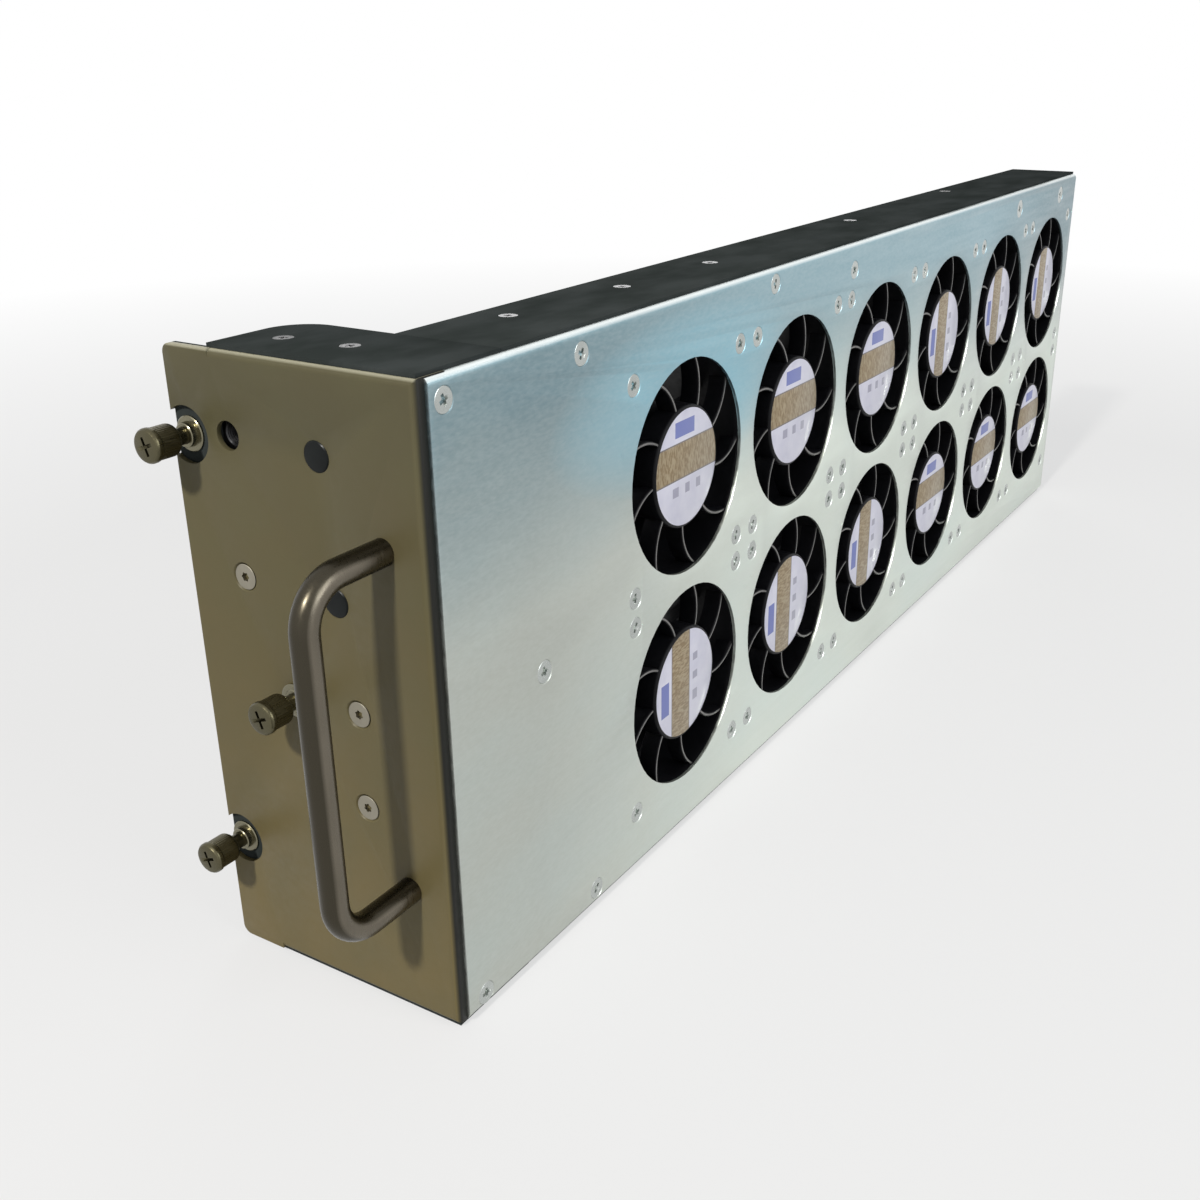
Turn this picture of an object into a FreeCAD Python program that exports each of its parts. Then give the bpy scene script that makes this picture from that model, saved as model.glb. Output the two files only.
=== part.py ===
import FreeCAD, Part
import os

import Sketcher

# Switch fan tray: a tall, narrow sheet-metal duct with two rows of six axial fans,
# a wider control head behind its front panel, a bow handle and three captive screws.
#
# The pieces are drawn in tray coordinates in millimetres: x from the middle plane of the
# duct towards the exhaust side, y from the front face of the panel towards the rear,
# z up from the underside. Each piece's placement then moves the origin to the middle
# of the duct's underside, half-way along the tray.

SIZES = {
    # folded sheet metal
    "tray_height": 200.0,
    "tray_length": 607.0,
    "sheet_wall": 1.2,
    "round_sides": 18.0,
    "bend_radius": 2.4,
    "cover_seam": 0.7,
    "duct_lip": 12.0,
    # axial fans
    "fan_size": 80.0,
    "fan_depth": 38.0,
    "fan_bore": 76.0,
    "fan_play": 0.4,
    "fan_columns": 6.0,
    "fan_rows": 2.0,
    "fan_pitch_along": 85.0,
    "fan_pitch_up": 82.0,
    "last_fan_inset": 45.5,
    "fan_drop": 0.5,
    "plate_hole": 75.0,
    "window_width": 77.0,
    "stator_hub": 43.0,
    "stator_depth": 8.0,
    "vane_count": 9.0,
    "vane_wall": 1.4,
    "vane_depth": 7.0,
    "vane_curl_ratio": 1.22,
    "vane_inward_ratio": 0.29,
    "vane_aside_ratio": 0.74,
    "vane_start_angle": -102.5,
    "vane_end_angle": -41.5,
    "bore_sides": 16.0,
    "hub_sides": 12.0,
    "rotor_hub": 40.0,
    "rotor_setback": 1.5,
    "rotor_gap": 0.4,
    "blade_count": 5.0,
    "blade_wall": 1.4,
    "blade_curl": 26.0,
    "blade_ahead_ratio": 0.6,
    "blade_aside_ratio": 0.62,
    "blade_half_width_ratio": 0.42,
    "blade_root_ratio": 0.35,
    "blade_start_angle": 104.5,
    "blade_end_angle": 168.5,
    "tip_gap": 0.8,
    # front panel and control head
    "panel_reach": 71.6,
    "panel_wall": 1.6,
    "panel_flange": 12.0,
    "panel_corner": 3.0,
    "plate_setback": 4.0,
    "head_reach": 55.2,
    "head_depth": 36.5,
    "head_corner": 13.0,
    "seam_gap": 0.2,
    "key_hole": 8.6,
    "key_hole_reach": 49.4,
    "key_hole_drop": 25.0,
    "lens_diameter": 9.0,
    "lens_proud": 0.4,
    "upper_lens_reach": 16.3,
    "lower_lens_reach": 14.4,
    "upper_lens_drop": 26.0,
    "lower_lens_drop": 67.6,
    # captive screws
    "notch_diameter": 17.0,
    "edge_screw_inset": 5.5,
    "middle_screw_inset": 37.2,
    "upper_screw_drop": 27.0,
    "middle_screw_drop": 102.8,
    "lower_screw_up": 39.5,
    "ferrule_diameter": 9.0,
    "ferrule_proud": 1.2,
    "shank_diameter": 5.0,
    "neck_diameter": 4.2,
    "shank_play": 0.05,
    "knob_diameter": 10.2,
    "knob_length": 10.0,
    "screw_travel": 3.5,
    "ring_diameter": 7.6,
    "ring_wall": 0.8,
    "thread_tip": 2.0,
    "thread_relief": 0.3,
    # handle
    "handle_rod": 8.0,
    "handle_span": 106.0,
    "handle_drop": 2.0,
    "handle_across": 4.4,
    "handle_reach": 30.4,
    "handle_bend": 13.0,
    "bend_steps": 3.0,
    # boards, connector and rear cap
    "board_wall": 1.6,
    "board_standoff": 10.4,
    "board_low": 52.0,
    "board_drop": 16.0,
    "board_width": 34.0,
    "board_across": 5.5,
    "post_width": 6.0,
    "post_reach": 10.0,
    "upper_post_up": 98.8,
    "lower_post_up": 68.2,
    "cap_depth": 5.0,
    "strip_front_inset": 119.0,
    "strip_rear_inset": 11.0,
    "strip_fan_gap": 2.0,
    "strip_roof_gap": 1.1,
    "strip_standoff": 8.0,
    "front_post_inset": 110.0,
    "rear_post_inset": 31.0,
    "dock_length": 24.0,
    "dock_proud": 4.0,
    "dock_height_ratio": 0.786,
    "dock_reach": 14.0,
    "dock_wall_ratio": 0.182,
    "dock_socket": 9.0,
    "dock_play": 0.3,
}

doc = FreeCAD.newDocument("SwitchFanTray")
sheet = doc.addObject("Spreadsheet::Sheet", "Sizes")
for row, (alias, value) in enumerate(SIZES.items(), start=1):
    sheet.set("A%d" % row, alias)
    sheet.set("B%d" % row, str(value))
    sheet.setAlias("B%d" % row, alias)
doc.recompute()

COLUMNS = range(int(SIZES["fan_columns"]))
ROWS = range(int(SIZES["fan_rows"]))

# Shared lines of the tray, each an expression on the sheet
DUCT_INNER = "(Sizes.fan_depth + Sizes.fan_play) / 2"
DUCT_OUTER = "(%s + Sizes.sheet_wall)" % DUCT_INNER
COVER_EDGE = "(%s - Sizes.cover_seam)" % DUCT_INNER
FLOOR = "Sizes.sheet_wall"
ROOF = "(Sizes.tray_height - Sizes.sheet_wall)"
INNER_FLOOR = "(2 * Sizes.sheet_wall)"
INNER_ROOF = "(Sizes.tray_height - 2 * Sizes.sheet_wall)"
FAN_MIDDLE = "((%s) - Sizes.fan_depth / 2)" % DUCT_INNER
ROWS_MIDDLE = "(Sizes.tray_height / 2 - Sizes.fan_drop)"
FANS_TOP = "(%s + (Sizes.fan_rows - 1) * Sizes.fan_pitch_up / 2 + Sizes.fan_size / 2)" % ROWS_MIDDLE
STRIP_LOW = "(%s + Sizes.strip_fan_gap)" % FANS_TOP
STRIP_HIGH = "(%s - Sizes.strip_roof_gap)" % INNER_ROOF
STRIP_UP = "((%s + %s) / 2)" % (STRIP_LOW, STRIP_HIGH)
HANDLE_UP = "(Sizes.tray_height / 2 - Sizes.handle_drop)"
BEYOND = 5
NEAR = 0.01

sub_parts = {}


def value_of(expression):
    """Number that an expression on the sheet gives."""
    return float(sheet.evalExpression(str(expression)))


def keep(node, shape_owner, solids=1):
    """Name a finished sub-part and remember how many separate solids it holds."""
    shape_owner.Label = node
    sub_parts[node] = (shape_owner, solids)
    return shape_owner


def seat(piece, x="0", y="0", z="0"):
    """Place a piece given in tray coordinates into the tray's own frame."""
    piece.setExpression("Placement.Base.x", str(x))
    piece.setExpression("Placement.Base.y", "%s - Sizes.tray_length / 2" % y)
    piece.setExpression("Placement.Base.z", str(z))
    return piece


# Part primitives and booleans


def block(name, low, high):
    """Block between two corners, each given as three expressions."""
    piece = doc.addObject("Part::Box", name)
    for axis, length, start, end in zip("xyz", ("Length", "Width", "Height"), low, high):
        piece.setExpression("Placement.Base." + axis, str(start))
        piece.setExpression(length, "(%s) - (%s)" % (end, start))
    return piece


TURN = {
    "x": FreeCAD.Rotation(FreeCAD.Vector(0, 1, 0), 90),
    "y": FreeCAD.Rotation(FreeCAD.Vector(1, 0, 0), -90),
    "z": FreeCAD.Rotation(),
}


def rod_or_post(kind, name, axis, start, centre, length):
    """Primitive along an axis from start; centre holds the two other coordinates in order."""
    piece = doc.addObject(kind, name)
    piece.Placement = FreeCAD.Placement(FreeCAD.Vector(), TURN[axis])
    places = dict(zip([other for other in "xyz" if other != axis], centre))
    places[axis] = start
    for direction, expression in places.items():
        piece.setExpression("Placement.Base." + direction, str(expression))
    piece.setExpression("Height", str(length))
    return piece


def rod(name, axis, start, centre, diameter, length):
    piece = rod_or_post("Part::Cylinder", name, axis, start, centre, length)
    piece.setExpression("Radius", "(%s) / 2" % diameter)
    return piece


def post(name, axis, start, centre, width, length, sides="6"):
    """Many-sided post along an axis, placed as a rod is; width is from flat to flat."""
    piece = rod_or_post("Part::Prism", name, axis, start, centre, length)
    piece.setExpression("Polygon", sides)
    piece.setExpression("Circumradius", "(%s) / 2 / cos(180 deg / (%s))" % (width, sides))
    return piece


def turned(name, axis, start, centre, diameter, length):
    """Small round piece drawn with flats, none of it outside its diameter."""
    width = "(%s) * cos(180 deg / Sizes.round_sides)" % diameter
    return post(name, axis, start, centre, width, length, "Sizes.round_sides")


def through(name, start, centre, width, length):
    """Many-sided tool for a hole along y that runs past both ends of what it cuts."""
    begin = "%s - %d" % (start, BEYOND)
    return post(name, "y", begin, centre, width, "%s + 2 * %d" % (length, BEYOND), "Sizes.round_sides")


def fused(name, pieces):
    joined = doc.addObject("Part::MultiFuse", name)
    joined.Shapes = pieces
    joined.Refine = True
    return joined


def cut(name, base, tool):
    remainder = doc.addObject("Part::Cut", name)
    remainder.Base = base
    remainder.Tool = tool
    remainder.Refine = True
    return remainder


def group(name, pieces):
    bundle = doc.addObject("Part::Compound", name)
    bundle.Links = pieces
    return bundle


# PartDesign bodies


def new_body(name):
    return doc.addObject("PartDesign::Body", name)


def origin_feature(body, role):
    return next(item for item in body.Origin.OriginFeatures if item.Role == role)


def new_sketch(body, name, plane, offset="0"):
    sketch = body.newObject("Sketcher::SketchObject", name)
    sketch.AttachmentSupport = [(origin_feature(body, plane), "")]
    sketch.MapMode = "FlatFace"
    sketch.setExpression("AttachmentOffset.Base.z", str(offset))
    return sketch


def constrain(sketch, kind, references, expression):
    """Add a dimension to a sketch and bind it to an expression on the sheet."""
    index = sketch.addConstraint(Sketcher.Constraint(kind, *references, value_of(expression)))
    label = "%s%d" % (kind.lower(), index)
    sketch.renameConstraint(index, label)
    sketch.setExpression("Constraints." + label, str(expression))


def outline(sketch, corners):
    """Closed polygon whose corners are pairs of expressions."""
    first = sketch.GeometryCount
    points = [FreeCAD.Vector(value_of(u), value_of(v), 0) for u, v in corners]
    following = points[1:] + points[:1]
    for start, end in zip(points, following):
        sketch.addGeometry(Part.LineSegment(start, end))
    count = len(corners)
    for side in range(count):
        ends = (first + side, 2, first + (side + 1) % count, 1)
        sketch.addConstraint(Sketcher.Constraint("Coincident", *ends))
    for side, (u, v) in enumerate(corners):
        constrain(sketch, "DistanceX", (-1, 1, first + side, 1), u)
        constrain(sketch, "DistanceY", (-1, 1, first + side, 1), v)


def open_line(sketch, corners):
    """Open run of straight stretches between corners given as pairs of expressions."""
    points = [FreeCAD.Vector(value_of(u), value_of(v), 0) for u, v in corners]
    for start, end in zip(points, points[1:]):
        sketch.addGeometry(Part.LineSegment(start, end))
    for side in range(len(points) - 2):
        sketch.addConstraint(Sketcher.Constraint("Coincident", side, 2, side + 1, 1))
    for side, (u, v) in enumerate(corners):
        end = (side, 1) if side < len(points) - 1 else (side - 1, 2)
        constrain(sketch, "DistanceX", (-1, 1, *end), u)
        constrain(sketch, "DistanceY", (-1, 1, *end), v)


def rectangle(sketch, low, high):
    outline(sketch, [low, (high[0], low[1]), high, (low[0], high[1])])


def circle(sketch, centre, diameter):
    middle = FreeCAD.Vector(value_of(centre[0]), value_of(centre[1]), 0)
    radius = "(%s) / 2" % diameter
    index = sketch.addGeometry(Part.Circle(middle, FreeCAD.Vector(0, 0, 1), value_of(radius)))
    constrain(sketch, "Radius", (index,), radius)
    constrain(sketch, "DistanceX", (-1, 1, index, 3), centre[0])
    constrain(sketch, "DistanceY", (-1, 1, index, 3), centre[1])


def padded(body, sketch, length, backwards=False, both_ways=False):
    feature = body.newObject("PartDesign::Pad", sketch.Name + "Pad")
    feature.Profile = sketch
    feature.setExpression("Length", str(length))
    feature.Reversed = backwards
    feature.SideType = "Symmetric" if both_ways else "One side"
    doc.recompute()
    return feature


def pocketed(body, sketch, length, backwards=False, both_ways=False):
    before = body.Shape.Volume
    feature = body.newObject("PartDesign::Pocket", sketch.Name + "Pocket")
    feature.Profile = sketch
    feature.setExpression("Length", str(length))
    feature.Reversed = backwards
    feature.SideType = "Symmetric" if both_ways else "One side"
    doc.recompute()
    if not body.Shape.Volume < before:
        raise RuntimeError("%s cuts nothing" % sketch.Name)
    return feature


def around(body, name, feature, count):
    """Repeat a feature evenly about the body's own x axis."""
    pattern = body.newObject("PartDesign::PolarPattern", name)
    pattern.Originals = [feature]
    pattern.Axis = (origin_feature(body, "X_Axis"), [""])
    pattern.Angle = 360
    pattern.setExpression("Occurrences", count)
    body.Tip = pattern
    doc.recompute()
    return pattern


def rounded(body, name, radius, chosen):
    """Round the edges whose middle point and direction the test accepts."""
    base = body.Tip
    names = []
    for index, edge in enumerate(base.Shape.Edges, start=1):
        if len(edge.Vertexes) != 2:
            continue
        start, end = (vertex.Point for vertex in edge.Vertexes)
        if chosen((start + end) / 2, (end - start).normalize()):
            names.append("Edge%d" % index)
    if not names:
        raise RuntimeError("%s finds no edge" % name)
    feature = body.newObject("PartDesign::Fillet", name)
    feature.Base = (base, names)
    feature.setExpression("Radius", str(radius))
    doc.recompute()
    return feature


def near(number, expression):
    return abs(number - value_of(expression)) < NEAR


def lies_along(way, axis):
    return abs(getattr(way, axis)) > 1 - NEAR


def fan_centre(column, row):
    """Where a fan's axis crosses the plates, as expressions along and up."""
    last = "Sizes.tray_length - Sizes.last_fan_inset"
    along = "(%s - (Sizes.fan_columns - 1 - %d) * Sizes.fan_pitch_along)" % (last, column)
    up = "(%s + (%d - (Sizes.fan_rows - 1) / 2) * Sizes.fan_pitch_up)" % (ROWS_MIDDLE, row)
    return along, up


def fan_openings(body, name):
    """Round holes through a plate, one before each fan."""
    sketch = new_sketch(body, name, "YZ_Plane")
    for column in COLUMNS:
        for row in ROWS:
            circle(sketch, fan_centre(column, row), "Sizes.plate_hole")
    return sketch


def make_fan_plate():
    """Exhaust side of the duct: one folded sheet with a short lip at top and bottom."""
    body = new_body("FanPlate")
    profile = new_sketch(body, "FanPlateBlank", "XZ_Plane", "-Sizes.plate_setback")
    rectangle(profile, (DUCT_INNER + " - Sizes.duct_lip", FLOOR), (DUCT_OUTER, ROOF))
    length = "Sizes.tray_length - Sizes.plate_setback"
    padded(body, profile, length, backwards=True)
    hollow = new_sketch(body, "FanPlateHollow", "XZ_Plane", "-Sizes.plate_setback")
    low = (DUCT_INNER + " - Sizes.duct_lip - %d" % BEYOND, INNER_FLOOR)
    rectangle(hollow, low, (DUCT_INNER, INNER_ROOF))
    pocketed(body, hollow, length)
    along = lambda way: lies_along(way, "y")
    rounded(body, "FanPlateBends", "Sizes.bend_radius", lambda at, way: along(way) and near(at.x, DUCT_OUTER))
    inner = "Sizes.bend_radius - Sizes.sheet_wall"
    at_fold = lambda at: near(at.x, DUCT_INNER) and (near(at.z, INNER_FLOOR) or near(at.z, INNER_ROOF))
    rounded(body, "FanPlateFolds", inner, lambda at, way: along(way) and at_fold(at))
    relief = new_sketch(body, "FanPlateRelief", "XZ_Plane", "-Sizes.plate_setback")
    low = (DUCT_INNER + " - Sizes.duct_lip - %d" % BEYOND, "0")
    rectangle(relief, low, (DUCT_INNER, "Sizes.tray_height"))
    pocketed(body, relief, "Sizes.panel_flange - Sizes.plate_setback + Sizes.seam_gap")
    holes = fan_openings(body, "FanPlateHoles")
    pocketed(body, holes, "3 * (%s)" % DUCT_OUTER, both_ways=True)
    keep("fan_plate", seat(body))


def make_duct_channel():
    """Intake side, roof and floor of the duct: one sheet folded to a channel."""
    body = new_body("DuctChannel")
    start = "(Sizes.head_depth + Sizes.seam_gap)"
    length = "Sizes.tray_length - " + start
    profile = new_sketch(body, "ChannelBlank", "XZ_Plane", "-" + start)
    rectangle(profile, ("-" + DUCT_OUTER, "0"), (COVER_EDGE, "Sizes.tray_height"))
    padded(body, profile, length, backwards=True)
    hollow = new_sketch(body, "ChannelHollow", "XZ_Plane", "-" + start)
    rectangle(hollow, ("-" + DUCT_INNER, FLOOR), (COVER_EDGE + " + %d" % BEYOND, ROOF))
    pocketed(body, hollow, length)
    along = lambda way: lies_along(way, "y")
    left = "-" + DUCT_OUTER
    rounded(body, "ChannelBends", "Sizes.bend_radius", lambda at, way: along(way) and near(at.x, left))
    inner = "Sizes.bend_radius - Sizes.sheet_wall"
    at_fold = lambda at: near(at.x, "-" + DUCT_INNER) and (near(at.z, FLOOR) or near(at.z, ROOF))
    rounded(body, "ChannelFolds", inner, lambda at, way: along(way) and at_fold(at))
    windows = new_sketch(body, "ChannelWindows", "YZ_Plane")
    half = "Sizes.window_width / 2"
    for column in COLUMNS:
        along, low = fan_centre(column, ROWS[0])
        along, high = fan_centre(column, ROWS[-1])
        near_low = (along + " - " + half, low + " - " + half)
        rectangle(windows, near_low, (along + " + " + half, high + " + " + half))
    pocketed(body, windows, "3 * (%s)" % DUCT_OUTER, both_ways=True)
    keep("duct_channel", seat(body))


def screw_places():
    """The captive screws: name, place across, height, back of the sheet that holds it, and tip."""
    edge = "(Sizes.edge_screw_inset - Sizes.panel_reach)"
    middle = "(Sizes.middle_screw_inset - Sizes.panel_reach)"
    wing = "(Sizes.panel_wall + Sizes.sheet_wall)"
    past_wing = wing + " + Sizes.ring_wall + Sizes.thread_relief + Sizes.thread_tip"
    past_head = "Sizes.head_depth + Sizes.thread_relief + Sizes.thread_tip"
    return (
        ("upper", edge, "(Sizes.tray_height - Sizes.upper_screw_drop)", wing, past_wing),
        ("middle", middle, "(Sizes.tray_height - Sizes.middle_screw_drop)", "Sizes.panel_wall", past_head),
        ("lower", edge, "Sizes.lower_screw_up", wing, past_wing),
    )


def at_wing_corner(at, way):
    """Whether an edge is one of the two outer corners of the panel's left wing."""
    outside = near(at.x, "-Sizes.panel_reach") and (near(at.z, FLOOR) or near(at.z, ROOF))
    return lies_along(way, "y") and outside


def make_front_panel():
    """Front panel: folded at the top, bottom and right, flat at the left where two notches are."""
    body = new_body("FrontPanel")
    right = DUCT_INNER
    left = "(Sizes.sheet_wall + Sizes.seam_gap - Sizes.head_reach)"
    blank = new_sketch(body, "PanelBlank", "XZ_Plane")
    rectangle(blank, (left, FLOOR), (right, ROOF))
    padded(body, blank, "Sizes.panel_flange", backwards=True)
    hollow = new_sketch(body, "PanelHollow", "XZ_Plane", "-Sizes.panel_wall")
    low = (left + " - %d" % BEYOND, FLOOR + " + Sizes.panel_wall")
    rectangle(hollow, low, (right + " - Sizes.panel_wall", ROOF + " - Sizes.panel_wall"))
    pocketed(body, hollow, "Sizes.panel_flange")
    at_rim = lambda at: near(at.x, right) or near(at.z, FLOOR) or near(at.z, ROOF)
    rounded(body, "PanelBends", "Sizes.bend_radius", lambda at, way: near(at.y, 0) and at_rim(at))
    wing = new_sketch(body, "PanelWing", "XZ_Plane")
    rectangle(wing, ("-Sizes.panel_reach", FLOOR), (left, ROOF))
    padded(body, wing, "Sizes.panel_wall", backwards=True)
    rounded(body, "PanelCorners", "Sizes.panel_corner", at_wing_corner)
    holes = new_sketch(body, "PanelHoles", "XZ_Plane")
    upper, middle, lower = screw_places()
    circle(holes, middle[1:3], "Sizes.ferrule_diameter")
    key_hole = ("-Sizes.key_hole_reach", "(Sizes.tray_height - Sizes.key_hole_drop)")
    circle(holes, key_hole, "Sizes.key_hole")
    for name in ("upper", "lower"):
        circle(holes, lens_centre(name), "Sizes.lens_diameter")
    pocketed(body, holes, "Sizes.panel_flange")
    notches = new_sketch(body, "PanelNotches", "XZ_Plane")
    for screw in (upper, lower):
        circle(notches, screw[1:3], "Sizes.notch_diameter")
    pocketed(body, notches, "Sizes.panel_flange")
    keep("front_panel", seat(body))


def make_head_cover():
    """Shell of the control head: roof, floor, side and back in one, with a rolled corner."""
    body = new_body("HeadCover")
    front = "Sizes.panel_wall"
    back = "Sizes.head_depth"
    left = "-Sizes.head_reach"
    blank = new_sketch(body, "HeadBlank", "XY_Plane")
    rectangle(blank, (left, front), (COVER_EDGE, back))
    padded(body, blank, "Sizes.tray_height")
    upright = lambda way: lies_along(way, "z")
    hollow = new_sketch(body, "HeadHollow", "XY_Plane", "Sizes.sheet_wall")
    wall = "Sizes.sheet_wall"
    corners = [
        (left + " + " + wall, front + " - %d" % BEYOND),
        (COVER_EDGE + " + %d" % BEYOND, front + " - %d" % BEYOND),
        (COVER_EDGE + " + %d" % BEYOND, back + " + %d" % BEYOND),
        ("-" + DUCT_OUTER, back + " + %d" % BEYOND),
        ("-" + DUCT_OUTER, back + " - " + wall),
        (left + " + " + wall, back + " - " + wall),
    ]
    outline(hollow, corners)
    pocketed(body, hollow, "Sizes.tray_height - 2 * Sizes.sheet_wall", backwards=True)
    rounded(
        body,
        "HeadInnerCorner",
        "Sizes.head_corner - Sizes.sheet_wall",
        lambda at, way: upright(way) and near(at.x, left + " + " + wall) and near(at.y, back + " - " + wall),
    )
    rounded(
        body,
        "HeadCorner",
        "Sizes.head_corner",
        lambda at, way: upright(way) and near(at.x, left) and near(at.y, back),
    )
    wing = new_sketch(body, "HeadWing", "XZ_Plane", "-" + front)
    rectangle(wing, ("-Sizes.panel_reach", FLOOR), (left + " + " + wall, ROOF))
    padded(body, wing, wall, backwards=True)
    rounded(body, "WingCorners", "Sizes.panel_corner", at_wing_corner)
    holes = new_sketch(body, "HeadHoles", "XZ_Plane")
    for screw in screw_places():
        circle(holes, screw[1:3], "Sizes.ferrule_diameter")
    pocketed(body, holes, "Sizes.head_depth + %d" % BEYOND)
    keep("head_cover", seat(body))


def make_rear_cap():
    """Shallow pan that closes the rear end, with the window of the docking connector."""
    body = new_body("RearCap")
    blank = new_sketch(body, "CapBlank", "XZ_Plane", "-Sizes.tray_length")
    rectangle(blank, ("-" + DUCT_INNER, INNER_FLOOR), (DUCT_INNER, INNER_ROOF))
    padded(body, blank, "Sizes.cap_depth")
    hollow = new_sketch(body, "CapHollow", "XZ_Plane", "Sizes.sheet_wall - Sizes.tray_length")
    low = ("-" + DUCT_INNER + " + Sizes.sheet_wall", INNER_FLOOR + " + Sizes.sheet_wall")
    high = (DUCT_INNER + " - Sizes.sheet_wall", INNER_ROOF + " - Sizes.sheet_wall")
    rectangle(hollow, low, high)
    pocketed(body, hollow, "Sizes.cap_depth", backwards=True)
    window = new_sketch(body, "CapWindow", "XZ_Plane", "-Sizes.tray_length")
    low, high = dock_outline("Sizes.dock_play")
    rectangle(window, low, high)
    pocketed(body, window, "2 * Sizes.sheet_wall", backwards=True)
    keep("rear_cap", seat(body))


def dock_outline(margin):
    """Lower and upper corner of the docking connector seen from the rear, widened by a margin."""
    right = "%s - Sizes.strip_standoff - Sizes.board_wall + %s" % (DUCT_INNER, margin)
    left = "-Sizes.dock_reach - %s" % margin
    half = "(%s - %s) * Sizes.dock_height_ratio / 2" % (STRIP_HIGH, STRIP_LOW)
    low = "%s - %s - %s" % (STRIP_UP, half, margin)
    high = "%s + %s + %s" % (STRIP_UP, half, margin)
    return (left, low), (right, high)


def make_docking_connector():
    """Blind-mate connector at the rear: a housing with one long socket."""
    (left, low), (right, high) = dock_outline("0")
    mouth = "(Sizes.tray_length + Sizes.dock_proud)"
    housing = block("DockHousing", (left, mouth + " - Sizes.dock_length", low), (right, mouth, high))
    wall = "((%s) - (%s)) * Sizes.dock_wall_ratio" % (high, low)
    socket = block(
        "DockSocket",
        (left + " + " + wall, mouth + " - Sizes.dock_socket", low + " + " + wall),
        (right + " - " + wall, mouth + " + %d" % BEYOND, high + " - " + wall),
    )
    keep("docking_connector", seat(cut("DockingConnector", housing, socket)))


def make_strip_board():
    """Narrow board above the rear fans that carries the docking connector, on two posts."""
    outer = "(%s - Sizes.strip_standoff)" % DUCT_INNER
    low = (outer + " - Sizes.board_wall", "(Sizes.tray_length - Sizes.strip_front_inset)", STRIP_LOW)
    board = block("StripBoard", low, (outer, "Sizes.tray_length - Sizes.strip_rear_inset", STRIP_HIGH))
    keep("docking_board", seat(board, *low))
    posts = []
    for name, inset in (("Front", "Sizes.front_post_inset"), ("Rear", "Sizes.rear_post_inset")):
        centre = ("(Sizes.tray_length - %s)" % inset, STRIP_UP)
        posts.append(post("StripPost" + name, "x", outer, centre, "Sizes.post_width", "Sizes.strip_standoff"))
    keep("docking_board_posts", seat(group("StripPosts", posts)), solids=2)


def make_controller_board():
    """Fan controller board, upright behind the panel on two posts."""
    back = "(Sizes.panel_wall + Sizes.board_standoff)"
    low = ("Sizes.board_across - Sizes.board_width", back, "Sizes.board_low")
    high = ("Sizes.board_across", back + " + Sizes.board_wall", "Sizes.tray_height - Sizes.board_drop")
    keep("controller_board", seat(block("ControllerBoard", low, high), *low))
    posts = []
    width = "Sizes.post_width"
    for name, up in (("Upper", "Sizes.upper_post_up"), ("Lower", "Sizes.lower_post_up")):
        centre = ("-Sizes.post_reach", up)
        start = "Sizes.panel_wall"
        posts.append(post("BoardPost" + name, "y", start, centre, width, "Sizes.board_standoff"))
    keep("controller_board_posts", seat(group("BoardPosts", posts)), solids=2)


def lens_centre(name):
    return "-Sizes.%s_lens_reach" % name, "(Sizes.tray_height - Sizes.%s_lens_drop)" % name


def make_lenses():
    """Two status lenses: round light guides from the panel's face back to the board."""
    length = "Sizes.lens_proud + Sizes.panel_wall + Sizes.board_standoff"
    for name in ("upper", "lower"):
        centre = lens_centre(name)
        guide = turned("Lens" + name, "y", "-Sizes.lens_proud", centre, "Sizes.lens_diameter", length)
        keep("status_lens_" + name, seat(group("StatusLens" + name, [guide])))


def make_handle():
    """Bow handle: one round rod along a path of two legs, two stepped bends and a grip."""
    across = "Sizes.handle_across"
    bend = "Sizes.handle_bend"
    leg = "(Sizes.handle_bend - Sizes.handle_reach)"
    body = new_body("HandleBow")
    path = new_sketch(body, "HandlePath", "YZ_Plane", across)
    points = []
    for side, turn in (("-", 1), ("+", -1)):
        foot = "(%s %s Sizes.handle_span / 2)" % (HANDLE_UP, side)
        middle = "(%s %s %s)" % (foot, "-" if side == "+" else "+", bend)
        steps = range(int(SIZES["bend_steps"]) + 1)
        run = [("0", foot)]
        for step in steps:
            angle = "(90 deg * %d / Sizes.bend_steps)" % step
            run.append(
                (
                    "%s - %s * sin(%s)" % (leg, bend, angle),
                    "%s %s %s * cos(%s)" % (middle, side, bend, angle),
                )
            )
        points += run[::turn]
    open_line(path, points)
    section = new_sketch(body, "HandleSection", "XZ_Plane")
    circle(section, (across, HANDLE_UP + " - Sizes.handle_span / 2"), "Sizes.handle_rod")
    sweep = body.newObject("PartDesign::AdditivePipe", "HandleSweep")
    sweep.Profile = section
    sweep.Spine = (path, ["Edge%d" % (side + 1) for side in range(len(points) - 1)])
    sweep.Transition = "Right corner"
    doc.recompute()
    keep("handle", seat(body))


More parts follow.
